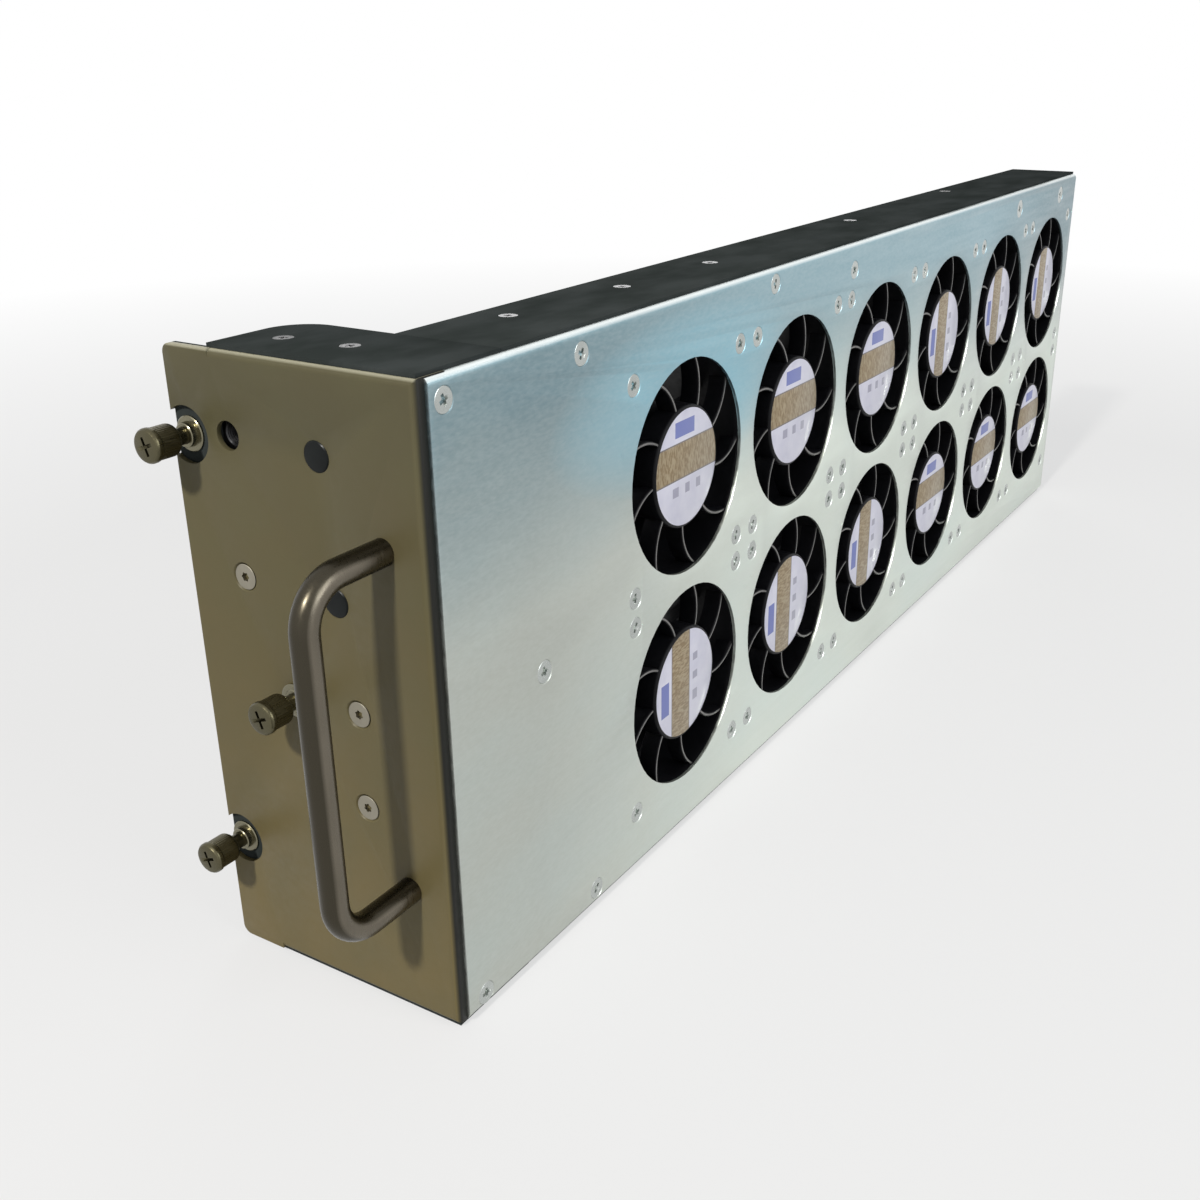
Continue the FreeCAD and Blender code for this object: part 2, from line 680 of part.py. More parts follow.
def make_captive_screws():
    """Three spring-loaded captive screws, their ferrules in the sheet and their retaining rings."""
    bore = "(Sizes.shank_diameter + 2 * Sizes.shank_play)"
    eye = "(Sizes.neck_diameter + 2 * Sizes.shank_play)"
    front = "(-Sizes.ferrule_proud)"
    knob_back = "(%s - Sizes.screw_travel)" % front
    knob_front = knob_back + " - Sizes.knob_length"
    width = "Sizes.knob_diameter"
    ring = "Sizes.ring_wall"
    ferrules = []
    for name, across, up, sheet_back, tip in screw_places():
        centre = (across, up)
        depth = "%s - %s" % (sheet_back, front)
        sleeve = turned("Sleeve" + name, "y", front, centre, "Sizes.ferrule_diameter", depth)
        hole = through("SleeveBore" + name, front, centre, bore, depth)
        ferrules.append(cut("Ferrule" + name, sleeve, hole))
        knob = turned("Knob" + name, "y", knob_front, centre, width, "Sizes.knob_length")
        length = "%s - %s" % (sheet_back, knob_back)
        shank = turned("Shank" + name, "y", knob_back, centre, "Sizes.shank_diameter", length)
        thread_start = "(%s - Sizes.thread_tip)" % tip
        length = "%s - %s" % (thread_start, sheet_back)
        neck = turned("Neck" + name, "y", sheet_back, centre, "Sizes.neck_diameter", length)
        thread = rod("Thread" + name, "y", thread_start, centre, "Sizes.shank_diameter", "Sizes.thread_tip")
        keep("captive_screw_" + name, seat(fused("CaptiveScrew" + name, [knob, shank, neck, thread])))
        outer = post("RingOuter" + name, "y", sheet_back, centre, "Sizes.ring_diameter", ring)
        inner = through("RingInner" + name, sheet_back, centre, eye, ring)
        keep("retaining_ring_" + name, seat(cut("RetainingRing" + name, outer, inner)))
    keep("captive_ferrules", seat(group("Ferrules", ferrules)), solids=len(ferrules))


def arc_band(sketch, centre, mean_radius, wall, start, end):
    """Curved strip of even thickness, as straight stretches along an arc from start to end."""
    angles = [start, "(%s + %s) / 2" % (start, end), end]
    corners = []
    for sign, run in (("-", angles), ("+", angles[::-1])):
        for angle in run:
            radius = "(%s %s %s / 2)" % (mean_radius, sign, wall)
            u = "%s + %s * cos((%s) * 1 deg)" % (centre[0], radius, angle)
            v = "%s + %s * sin((%s) * 1 deg)" % (centre[1], radius, angle)
            corners.append((u, v))
    outline(sketch, corners)


def prism(body, kind, name, offset, radius, sides, length):
    """Many-sided prism about the body's own x axis, added to it or taken from it."""
    feature = body.newObject("PartDesign::%sPrism" % kind, name)
    feature.AttachmentSupport = [(origin_feature(body, "YZ_Plane"), "")]
    feature.MapMode = "FlatFace"
    feature.setExpression("AttachmentOffset.Base.z", offset)
    feature.setExpression("Circumradius", radius)
    feature.setExpression("Polygon", sides)
    feature.setExpression("Height", length)
    doc.recompute()
    return feature


def make_fan_frame(name, place):
    """Fan housing: square block with its bore, and the stator's curved vanes and motor hub."""
    body = new_body("Frame" + name)
    half = "Sizes.fan_size / 2"
    shell = new_sketch(body, "Shell" + name, "YZ_Plane")
    rectangle(shell, ("-" + half, "-" + half), (half, half))
    padded(body, shell, "Sizes.fan_depth", both_ways=True)
    bore = "Sizes.fan_bore / 2 / cos(180 deg / Sizes.bore_sides)"
    begin = "-Sizes.fan_depth / 2 - %d" % BEYOND
    depth = "Sizes.fan_depth + 2 * %d" % BEYOND
    prism(body, "Subtractive", "Bore" + name, begin, bore, "Sizes.bore_sides", depth)
    exhaust = "Sizes.fan_depth / 2 - Sizes.stator_depth"
    vane = new_sketch(body, "Vane" + name, "YZ_Plane", exhaust)
    curl = "(Sizes.vane_curl_ratio * (Sizes.fan_bore - Sizes.stator_hub) / 2)"
    out = "((Sizes.fan_bore + Sizes.stator_hub) / 4 - Sizes.vane_inward_ratio * %s)" % curl
    centre = (out, "Sizes.vane_aside_ratio * " + curl)
    arc_band(vane, centre, curl, "Sizes.vane_wall", "Sizes.vane_start_angle", "Sizes.vane_end_angle")
    first = padded(body, vane, "Sizes.vane_depth")
    around(body, "Vanes" + name, first, "Sizes.vane_count")
    radius = "Sizes.stator_hub / 2"
    prism(body, "Additive", "Hub" + name, exhaust, radius, "Sizes.hub_sides", "Sizes.stator_depth")
    return seat(body, FAN_MIDDLE, *place)


def make_fan_rotor(name, place):
    """Impeller: round hub with curved blades that clear the bore at the tips."""
    body = new_body("Rotor" + name)
    rear = "(Sizes.rotor_setback - Sizes.fan_depth / 2)"
    front = "(Sizes.fan_depth / 2 - Sizes.stator_depth - Sizes.rotor_gap)"
    length = "%s - %s" % (front, rear)
    prism(body, "Additive", "RotorHub" + name, rear, "Sizes.rotor_hub / 2", "Sizes.hub_sides", length)
    root = "Sizes.rotor_hub * Sizes.blade_root_ratio"
    blade = new_sketch(body, "Blade" + name, "XY_Plane", root)
    curl = "Sizes.blade_curl"
    middle = "(%s + %s) / 2 + Sizes.blade_ahead_ratio * %s" % (rear, front, curl)
    centre = (middle, "-Sizes.blade_aside_ratio * " + curl)
    arc_band(blade, centre, curl, "Sizes.blade_wall", "Sizes.blade_start_angle", "Sizes.blade_end_angle")
    tip = "(Sizes.fan_bore / 2 - Sizes.tip_gap)"
    reach = "sqrt(%s ^ 2 - (Sizes.blade_half_width_ratio * %s) ^ 2)" % (tip, curl)
    first = padded(body, blade, "%s - %s" % (reach, root))
    around(body, "Blades" + name, first, "Sizes.blade_count")
    return seat(body, FAN_MIDDLE, *place)


def make_fans():
    for row, level in zip(ROWS, ("lower", "upper")):
        for column in COLUMNS:
            name = "%s_%d" % (level, column + 1)
            place = fan_centre(column, row)
            keep("fan_frame_" + name, make_fan_frame(name, place))
            keep("fan_rotor_" + name, make_fan_rotor(name, place))


make_fan_plate()
make_duct_channel()
make_front_panel()
make_head_cover()
make_rear_cap()
make_docking_connector()
make_strip_board()
make_controller_board()
make_lenses()
make_handle()
make_captive_screws()
make_fans()
doc.recompute()

for item in doc.Objects:
    if "Invalid" in item.State or "Error" in item.State:
        raise RuntimeError("%s did not compute: %s" % (item.Label, item.State))
os.makedirs("parts", exist_ok=True)
for node, (owner, solids) in sub_parts.items():
    shape = owner.Shape
    if shape.isNull() or not shape.isValid() or len(shape.Solids) != solids:
        raise RuntimeError("%s has no sound shape" % node)
    shape.exportStep(os.path.join("parts", node + ".step"))
    print("%-26s %s" % (node, shape.BoundBox))
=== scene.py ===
import math

import bmesh
import bpy
from mathutils import Matrix, Vector


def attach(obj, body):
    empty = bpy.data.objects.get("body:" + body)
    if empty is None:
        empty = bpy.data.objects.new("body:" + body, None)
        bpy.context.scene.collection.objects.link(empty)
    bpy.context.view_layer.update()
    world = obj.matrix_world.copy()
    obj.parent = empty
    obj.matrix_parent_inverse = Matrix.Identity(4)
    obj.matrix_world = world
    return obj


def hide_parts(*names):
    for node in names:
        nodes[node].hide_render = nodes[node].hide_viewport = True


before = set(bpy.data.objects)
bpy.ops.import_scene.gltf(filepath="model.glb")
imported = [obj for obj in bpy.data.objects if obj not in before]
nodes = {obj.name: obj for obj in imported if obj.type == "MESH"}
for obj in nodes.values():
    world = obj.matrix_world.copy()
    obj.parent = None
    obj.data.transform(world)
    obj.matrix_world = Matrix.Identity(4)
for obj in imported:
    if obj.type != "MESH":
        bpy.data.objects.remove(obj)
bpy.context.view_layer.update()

# Row frame: x out of the fan plate, y from the panel to the rear, z up.
# Lengths are in millimetres, except where MM turns them into metres.
MM = 0.001
QUARTER_TURN = math.pi / 2

PANEL_FACE = -303.5
PANEL_SHEET = 1.6
COVER_SHEET = 1.2
PLATE_FACE = 20.4
ROOF = 200.0
HANDLE_X = 4.4
HANDLE_LOW, HANDLE_HIGH = 45.0, 151.0
KEY_HOLE = (-49.4, 175.0)
LENSES = {"upper": (-16.3, 174.0), "lower": (-14.4, 132.4)}

# Fans: places of the middles, and sizes measured from there; BORE, HUB and LABEL are radii.
FAN_X = 0.2
FAN_Y = [-167.0 + 85.0 * column for column in range(6)]
FAN_Z = {"lower": 58.5, "upper": 140.5}
UPRIGHT_LABELS = {("upper", 4), ("upper", 5), ("upper", 6), ("lower", 1), ("lower", 2), ("lower", 3)}
HALF_DEPTH = 19.0
HALF_WIDTH = 40.0
FAN_SCREW = 35.75
BORE = 38.0
HUB = 21.5
LABEL = 20.5

# Captive screws: x and z of the axis, y of the shoulder behind the full shank, y of the tip.
SCREWS = {
    "upper": (-66.1, 173.0, -300.7, -297.6),
    "middle": (-34.4, 97.2, -301.9, -264.7),
    "lower": (-66.1, 39.5, -300.7, -297.6),
}
FERRULE_RISE, STROKE, KNOB_LENGTH = 1.2, 3.5, 10.0
FERRULE_FRONT = PANEL_FACE - FERRULE_RISE
KNOB_FRONT = FERRULE_FRONT - STROKE - KNOB_LENGTH
# The knob's outline: place along y from its outer face, and radius.
KNOB = [
    (0.0, 0.0), (0.0, 3.9), (0.25, 4.6), (0.8, 5.0), (1.2, 5.08), (2.2, 5.08), (2.7, 4.75), (3.4, 4.75),
    (5.0, 4.75), (6.6, 4.75), (8.2, 4.75), (8.8, 4.6), (9.5, 4.0), (9.94, 3.3), (9.94, 2.5),
]
KNURL_RINGS = range(5, 12)
KNURL_WAVES, KNURL_DEPTH = 21, 0.16

# Small screws: each point is the middle of the head in the sheet's face.
FAN_SCREWS = [
    (PLATE_FACE, y + FAN_SCREW * dy, z + FAN_SCREW * dz)
    for z in FAN_Z.values() for y in FAN_Y for dy in (-1, 1) for dz in (-1, 1)
]
PLATE_SCREWS = [(PLATE_FACE, y + PANEL_FACE, z) for y, z in (
    (9.8, 191.9), (72.3, 191.7), (48.6, 99.7), (74.2, 6.8), (12.4, 5.6), (272.2, 188.0), (199.0, 193.1),
)]
POST_SCREWS = [(PLATE_FACE, y + PANEL_FACE, 189.5) for y in (497.0, 576.0)]
HEAD_ROOF_SCREWS = [(x, y + PANEL_FACE, ROOF) for x, y in ((-42.1, 17.4), (-18.7, 18.8))]
DUCT_ROOF_SCREWS = [(x, y + PANEL_FACE, ROOF) for x, y in (
    (-7.0, 74.1), (-4.3, 133.4), (-3.5, 192.6), (-7.2, 329.7), (-11.6, 466.2),
)]
PANEL_SCREWS = [(x, PANEL_FACE, z) for x, z in ((-49.7, 132.9), (-10.0, 98.8), (-10.0, 68.2))]
# Radius and depth of the seats sunk for the heads.
SEATS = {"plate": (3.9, 1.0), "post": (4.9, 1.0), "roof": (3.2, 1.0), "panel": (4.6, 1.3)}
HEAD_TOP = -0.12
HEAD_SPIN = 0.7


def add_camera():
    """Camera as fitted to the photograph; focal length and middle are in its pixels."""
    photo_width, sensor = 1200.0, 36.0
    focal, middle_x, middle_y = 1338.7, 638.585, 594.122
    place = Vector((235.04, -549.34, 275.86)) * MM
    azimuth, elevation, roll = (math.radians(a) for a in (31.6378, 22.5683, -0.3706))
    ca, sa, ce, se = math.cos(azimuth), math.sin(azimuth), math.cos(elevation), math.sin(elevation)
    back = Vector((sa * ce, -ca * ce, se))
    right = Vector((ca, sa, 0.0))
    up = back.cross(right)
    turned_right = right * math.cos(roll) + up * math.sin(roll)
    turned_up = up * math.cos(roll) - right * math.sin(roll)
    data = bpy.data.cameras.new("Camera")
    data.sensor_width = sensor
    data.sensor_fit = "HORIZONTAL"
    data.lens = focal * sensor / photo_width
    data.shift_x = 0.5 - middle_x / photo_width
    data.shift_y = middle_y / photo_width - 0.5
    data.clip_start = 0.02
    data.clip_end = 50.0
    camera = add_object("Camera", data)
    axes = Matrix((turned_right, turned_up, back)).transposed().to_4x4()
    camera.matrix_world = Matrix.Translation(place) @ axes
    bpy.context.scene.camera = camera


# Materials.

class Look:
    """One node material, built up call by call."""

    # Colour sockets of the mix node, whose names are shared by its other kinds.
    COLOUR_A, COLOUR_B, COLOUR_RESULT = 6, 7, 2

    def __init__(self, name, colour, roughness, metallic=0.0, specular=0.5, coat=0.0):
        self.material = bpy.data.materials.new(name)
        self.material.use_nodes = True
        self.nodes = self.material.node_tree.nodes
        self.links = self.material.node_tree.links
        self.shader = self.nodes["Principled BSDF"]
        self.colour = colour
        self.shader.inputs["Base Color"].default_value = (*colour, 1.0)
        self.shader.inputs["Roughness"].default_value = roughness
        self.shader.inputs["Metallic"].default_value = metallic
        self.shader.inputs["Specular IOR Level"].default_value = specular
        self.shader.inputs["Coat Weight"].default_value = coat
        self.coords = self.nodes.new("ShaderNodeTexCoord").outputs["Object"]
        self.relief = None

    def node(self, kind, **settings):
        made = self.nodes.new(kind)
        for name, value in settings.items():
            setattr(made, name, value)
        return made

    def noise(self, size, stretch=(1, 1, 1), detail=3.0):
        """Noise whose grains are about size millimetres across; stretch lengthens them."""
        mapping = self.node("ShaderNodeMapping")
        self.links.new(self.coords, mapping.inputs["Vector"])
        mapping.inputs["Scale"].default_value = [1.0 / (MM * size * s) for s in stretch]
        texture = self.node("ShaderNodeTexNoise")
        texture.inputs["Scale"].default_value = 1.0
        texture.inputs["Detail"].default_value = detail
        self.links.new(mapping.outputs["Vector"], texture.inputs["Vector"])
        return texture.outputs["Fac"]

    def span(self, value, low, high, start=0.3, end=0.7):
        """Maps value from start..end to low..high."""
        ramp = self.node("ShaderNodeMapRange")
        ramp.inputs["From Min"].default_value = start
        ramp.inputs["From Max"].default_value = end
        ramp.inputs["To Min"].default_value = low
        ramp.inputs["To Max"].default_value = high
        self.links.new(value, ramp.inputs["Value"])
        return ramp.outputs["Result"]

    def math(self, operation, first, second=0.0):
        made = self.node("ShaderNodeMath", operation=operation)
        for socket, value in zip(made.inputs, (first, second)):
            if isinstance(value, (int, float)):
                socket.default_value = value
            else:
                self.links.new(value, socket)
        return made.outputs["Value"]

    def mix(self, share, first, second):
        """Colour between first and second; each is a colour or a socket."""
        made = self.node("ShaderNodeMix", data_type="RGBA")
        self.links.new(share, made.inputs["Factor"])
        for index, value in ((self.COLOUR_A, first), (self.COLOUR_B, second)):
            if isinstance(value, tuple):
                made.inputs[index].default_value = (*value, 1.0)
            else:
                self.links.new(value, made.inputs[index])
        return made.outputs[self.COLOUR_RESULT]

    def axis(self, name):
        split = self.node("ShaderNodeSeparateXYZ")
        self.links.new(self.coords, split.inputs["Vector"])
        return split.outputs[name]

    def ramp(self, name, start, end, low=0.0, high=1.0):
        """Value that goes from low to high between two places along an axis, in millimetres."""
        return self.span(self.axis(name), low, high, start * MM, end * MM)

    def clouded(self, value, cloud, most=1.0):
        """Value with a cloud added, kept between 0 and most."""
        raised = self.math("MAXIMUM", self.math("ADD", value, cloud), 0.0)
        return self.math("MINIMUM", raised, most)

    def offset(self, name, middle, reach):
        """Square of the distance from middle along an axis, as a share of reach."""
        share = self.math("DIVIDE", self.math("SUBTRACT", self.axis(name), middle * MM), reach * MM)
        return self.math("MULTIPLY", share, share)

    def within(self, name, low, high):
        """1 between two places along an axis, in millimetres, and 0 elsewhere."""
        value = self.axis(name)
        above = self.math("GREATER_THAN", value, low * MM)
        return self.math("MULTIPLY", above, self.math("LESS_THAN", value, high * MM))

    def paint(self, socket):
        self.links.new(socket, self.shader.inputs["Base Color"])

    def mottled(self, other, size, stretch=(1, 1, 1)):
        """Base colour that wanders to another colour in soft patches."""
        share = self.span(self.noise(size, stretch), 0.0, 1.0, start=0.35, end=0.65)
        self.paint(self.mix(share, self.colour, other))

    def rough(self, low, high, size, stretch=(1, 1, 1)):
        result = self.span(self.noise(size, stretch), low, high)
        self.links.new(result, self.shader.inputs["Roughness"])

    def bumped(self, size, height, stretch=(1, 1, 1), strength=0.5, detail=3.0):
        """Relief of height millimetres with grains of size millimetres."""
        bump = self.node("ShaderNodeBump")
        bump.inputs["Strength"].default_value = strength
        bump.inputs["Distance"].default_value = height * MM
        self.links.new(self.noise(size, stretch, detail), bump.inputs["Height"])
        if self.relief is not None:
            self.links.new(self.relief, bump.inputs["Normal"])
        self.relief = bump.outputs["Normal"]
        self.links.new(self.relief, self.shader.inputs["Normal"])


def zinc_look():
    """Zinc sheet: plain grey up front, with painted reflections that make it paler to the rear, blue along
    its top and cyan in a patch, painted shade on its upper rear and at the ends of the blue, and a painted
    highlight on the top fold.
    """
    # The pale, blue and cyan colours are painted reflections, the dull grey and the deeper blue painted
    # shade, and the bright fold colour a painted highlight.
    plain, pale, dull = (0.48, 0.505, 0.46), (0.83, 0.90, 0.82), (0.46, 0.505, 0.495)
    blue, shaded_blue, reflected_cyan = (0.27, 0.42, 0.48), (0.185, 0.285, 0.325), (0.30, 0.55, 0.65)
    fleck, fold_highlight = (0.80, 0.84, 0.84), (0.90, 0.95, 0.94)
    look = Look("zinc_sheet", (0.50, 0.53, 0.49), roughness=0.36, metallic=1.0)
    cloud = look.span(look.noise(60.0, (1, 1.5, 0.8)), low=-0.15, high=0.15)
    # Painted reflection, paler towards the rear.
    rear = look.clouded(look.ramp("Y", -260.0, -110.0, high=0.70), cloud)
    # Painted shade on the upper rear.
    upper_rear_shade = look.math("MULTIPLY", look.ramp("Y", 0.0, 160.0), look.ramp("Z", 95.0, 135.0))
    # Painted reflection, blue along the top.
    top = look.clouded(look.ramp("Z", 122.0, 188.0), cloud, most=0.94)
    # Painted shade: the blue deepens towards both ends.
    off_middle = look.math("ABSOLUTE", look.math("SUBTRACT", look.axis("Y"), 10.0 * MM))
    ends = look.span(off_middle, 0.0, 1.0, start=130.0 * MM, end=260.0 * MM)
    # Painted reflection: a cyan patch high up at the front.
    away = look.math("ADD", look.offset("Y", -165.0, 85.0), look.offset("Z", 166.0, 30.0))
    patch = look.math("MAXIMUM", look.math("SUBTRACT", 1.0, away), 0.0)
    tint = look.mix(rear, plain, pale)
    tint = look.mix(upper_rear_shade, tint, dull)
    tint = look.mix(top, tint, look.mix(ends, blue, shaded_blue))
    tint = look.mix(patch, tint, reflected_cyan)
    tint = look.mix(look.span(look.noise(0.9, (1, 3, 1)), low=0.0, high=0.10), tint, fleck)
    # Painted highlight along the top fold.
    look.paint(look.mix(look.ramp("Z", 197.2, 198.2, high=0.9), tint, fold_highlight))
    look.rough(low=0.30, high=0.44, size=3.0, stretch=(1, 12, 1))
    look.bumped(size=0.7, height=0.012, stretch=(1, 8, 1), strength=0.35)
    look.bumped(size=40.0, height=0.05, strength=0.2)
    return look.material


def dark_sheet_look():
    look = Look("dark_sheet", (0.028, 0.033, 0.032), roughness=0.66, specular=0.0)
    look.mottled((0.042, 0.048, 0.048), size=14.0, stretch=(1, 2, 1))
    look.rough(low=0.46, high=0.62, size=1.2)
    look.bumped(size=0.6, height=0.02)
    return look.material


def panel_look():
    """Warm olive-grey satin paint, with painted light that makes it paler and browner low down, a painted
    highlight on the top fold and painted shade on the flange by the fan plate.
    """
    olive, lit_brown, grey = (0.077, 0.068, 0.036), (0.142, 0.110, 0.046), (0.088, 0.084, 0.043)
    panel_fold_highlight, seam_shade = (0.62, 0.60, 0.46), (0.010, 0.010, 0.008)
    look = Look("panel_paint", (0.100, 0.088, 0.046), roughness=0.44, specular=0.2)
    # Painted light: paler and browner towards the bottom.
    base = look.mix(look.ramp("Z", 0.0, 190.0, low=1.0, high=0.0), olive, lit_brown)
    base = look.mix(look.span(look.noise(22.0), low=0.0, high=0.35), base, grey)
    # Painted highlight along the top fold.
    base = look.mix(look.ramp("Z", 197.9, 198.5, high=0.42), base, panel_fold_highlight)
    # Painted shade on the flange beside the fan plate.
    look.paint(look.mix(look.ramp("X", 18.2, 19.0), base, seam_shade))
    look.rough(low=0.36, high=0.48, size=2.5)
    look.bumped(size=0.8, height=0.012)
    return look.material


def metal_look(name, colour, stretch, low, high):
    """Dull metal whose roughness goes from low to high, its grain lengthened by stretch."""
    look = Look(name, colour, roughness=0.3, metallic=1.0)
    look.mottled(tuple(0.88 * c for c in colour), size=9.0)
    look.rough(low, high, size=0.8, stretch=stretch)
    look.bumped(size=0.35, height=0.006, stretch=stretch, strength=0.4)
    return look.material


def handle_look():
    """Satin nickel rod, dark all over as a painted dark reflection, with a painted highlight in broken
    patches on the side that faces +X.
    """
    along_rod = (1, 1, 10)
    look = Look("handle_nickel", (0.060, 0.053, 0.039), roughness=0.3, metallic=1.0)
    # Painted highlight: a paler stripe on the +X side, broken up by the noise below.
    painted_highlight = look.ramp("X", 7.5, 8.1)
    patch = look.span(look.noise(8.0, (1, 1, 3)), low=0.75, high=1.0)
    look.paint(look.mix(look.math("MULTIPLY", painted_highlight, patch), look.colour, (0.170, 0.150, 0.118)))
    look.rough(low=0.24, high=0.34, size=0.8, stretch=along_rod)
    look.bumped(size=0.35, height=0.006, stretch=along_rod, strength=0.4)
    return look.material


def plastic_look(name, colour, roughness, specular, grain):
    look = Look(name, colour, roughness, specular=specular)
    look.mottled(tuple(1.5 * c for c in colour), size=6.0)
    look.rough(roughness - 0.06, roughness + 0.08, size=1.5)
    look.bumped(size=grain, height=0.012, strength=0.4)
    return look.material


def label_look():
    """Fan label: pale paper, a tan band across, one plain blue block and three faint marks."""
    light_paper, paper_shade = (0.70, 0.69, 0.79), (0.61, 0.60, 0.72)
    tan, faded_tan, line = (0.22, 0.150, 0.070), (0.36, 0.285, 0.175), (0.17, 0.15, 0.15)
    block, mark = (0.16, 0.19, 0.46), (0.36, 0.35, 0.45)
    band_low, band_high, line_width = -2.9, 9.4, 0.5
    look = Look("fan_label", (0.66, 0.65, 0.76), roughness=0.38, coat=0.2)

    def patch(left, bottom, right, top):
        return look.math("MULTIPLY", look.within("Y", left, right), look.within("Z", bottom, top))

    paper = look.mix(look.span(look.noise(7.0), 0.0, 1.0), light_paper, paper_shade)
    faded = look.span(look.noise(1.3, (1.0, 0.5, 1.6)), 0.0, 1.0, start=0.42, end=0.6)
    colour = look.mix(look.within("Z", band_low, band_high), paper, look.mix(faded, tan, faded_tan))
    for low in (band_low - 0.4, band_high - 0.1):
        colour = look.mix(look.within("Z", low, low + line_width), colour, line)
    colour = look.mix(patch(-8.0, 11.6, 5.0, 17.0), colour, block)
    for left, right in ((-9.5, -5.5), (-1.0, 2.0), (6.5, 9.5)):
        colour = look.mix(patch(left, -9.0, right, -5.6), colour, mark)
    look.paint(colour)
    look.bumped(size=0.4, height=0.004, strength=0.3)
    return look.material


def board_look():
    green, light_green = (0.025, 0.13, 0.06), (0.05, 0.22, 0.10)
    look = Look("circuit_board", (0.03, 0.15, 0.07), roughness=0.35, coat=0.3)
    tracks = look.span(look.noise(2.2, (1, 1, 6), detail=1.0), 0.0, 1.0, start=0.48, end=0.52)
    look.paint(look.mix(tracks, green, light_green))
    look.bumped(size=2.2, height=0.03, stretch=(1, 1, 6), strength=0.4, detail=1.0)
    return look.material


# Metals: name, colour, stretch of the grain, lowest and highest roughness.
METALS = {
    "knob": ("knob_nickel", (0.112, 0.101, 0.061), (1, 6, 1), 0.24, 0.40),
    "ferrule": ("ferrule_nickel", (0.21, 0.195, 0.135), (1, 4, 1), 0.18, 0.32),
    "ring": ("spring_steel", (0.24, 0.24, 0.24), (1, 1, 1), 0.3, 0.45),
    "screw": ("screw_zinc", (0.53, 0.56, 0.54), (1, 1, 1), 0.22, 0.38),
    "panel_screw": ("screw_painted", (0.32, 0.295, 0.235), (1, 1, 1), 0.3, 0.42),
    "roof_screw": ("screw_black", (0.060, 0.060, 0.062), (1, 1, 1), 0.26, 0.4),
    "recess": ("recess_shade", (0.035, 0.036, 0.034), (1, 1, 1), 0.4, 0.5),
    "post": ("post_metal", (0.60, 0.52, 0.34), (1, 4, 1), 0.25, 0.4),
}
# Plastics: name, colour, roughness, specular level, size of the grain.
PLASTICS = {
    "frame": ("fan_frame_plastic", (0.004, 0.004, 0.005), 0.42, 0.14, 0.5),
    # The vane edge colour is a painted highlight.
    "edge": ("fan_vane_edge_highlight", (0.125, 0.120, 0.115), 0.40, 0.5, 0.3),
    "rotor": ("fan_rotor_plastic", (0.004, 0.004, 0.005), 0.48, 0.14, 0.5),
    "connector": ("connector_plastic", (0.018, 0.018, 0.020), 0.36, 0.5, 0.5),
    "lens": ("lens_plastic", (0.004, 0.005, 0.005), 0.34, 0.13, 0.8),
}
looks = {}


def make_looks():
    looks["zinc"] = zinc_look()
    looks["dark"] = dark_sheet_look()
    looks["panel"] = panel_look()
    looks["handle"] = handle_look()
    looks["label"] = label_look()
    looks["board"] = board_look()
    for key, values in METALS.items():
        looks[key] = metal_look(*values)
    for key, values in PLASTICS.items():
        looks[key] = plastic_look(*values)


# Mesh tools.

def smooth_by_angle(mesh, degrees=32.0):
    """Smooth shading with sharp edges where faces meet at more than the angle."""
    bm = bmesh.new()
    bm.from_mesh(mesh)
    limit = math.radians(degrees)
    for face in bm.faces:
        face.smooth = True
    for edge in bm.edges:
        edge.smooth = len(edge.link_faces) == 2 and edge.calc_face_angle(0.0) < limit
    bm.to_mesh(mesh)
    bm.free()


def new_mesh(name, points, faces):
    """Mesh from points in millimetres, with outward faces."""
    mesh = bpy.data.meshes.new(name)
    mesh.from_pydata([Vector(p) * MM for p in points], [], faces)
    bm = bmesh.new()
    bm.from_mesh(mesh)
    bmesh.ops.remove_doubles(bm, verts=bm.verts, dist=1e-7)
    bmesh.ops.recalc_face_normals(bm, faces=bm.faces)
    bm.to_mesh(mesh)
    bm.free()
    smooth_by_angle(mesh)
    return mesh


def skinned(name, rings, looped=False, open_rings=False, ends=()):
    """Mesh through rings of points; a looped one joins the last ring to the first."""
    size, count = len(rings[0]), len(rings)
    faces = []
    for here in range(count if looped else count - 1):
        there = (here + 1) % count
        for index in range(size - 1 if open_rings else size):
            after = (index + 1) % size
            corners = ((here, index), (here, after), (there, after), (there, index))
            faces.append(tuple(size * ring + place for ring, place in corners))
    return new_mesh(name, [point for ring in rings for point in ring], faces + list(ends))


def flat_ends(size, count):
    """One face over the first ring and one over the last."""
    first, last = range(size), range(size * (count - 1), size * count)
    return [tuple(first), tuple(reversed(last))]


def unchanged(index, radius, angle):
    return radius


def lathe(name, axis, profile, segments, centre=(0, 0, 0), radius_at=unchanged):
    """Profile of (along, radius) pairs turned about +X or +Y; it ends on the axis or on itself."""
    rings = []
    for step in range(segments):
        angle = math.tau * step / segments
        c, s = math.cos(angle), math.sin(angle)
        ring = []
        for index, (along, radius) in enumerate(profile):
            radius = radius_at(index, radius, angle)
            point = (along, radius * c, radius * s) if axis == "x" else (radius * s, along, radius * c)
            ring.append(tuple(p + q for p, q in zip(point, centre)))
        rings.append(ring)
    return skinned(name, rings, looped=True, open_rings=True)


def turned(first, second, angle):
    """A pair of coordinates turned by an angle."""
    c, s = math.cos(angle), math.sin(angle)
    return first * c - second * s, first * s + second * c


def coat(mesh, *names):
    """Gives the mesh these looks, and no others."""
    mesh.materials.clear()
    for name in names:
        mesh.materials.append(looks[name])


def add_object(name, data, look=None):
    piece = bpy.data.objects.new(name, data)
    bpy.context.scene.collection.objects.link(piece)
    if look is not None:
        coat(data, look)
    return piece


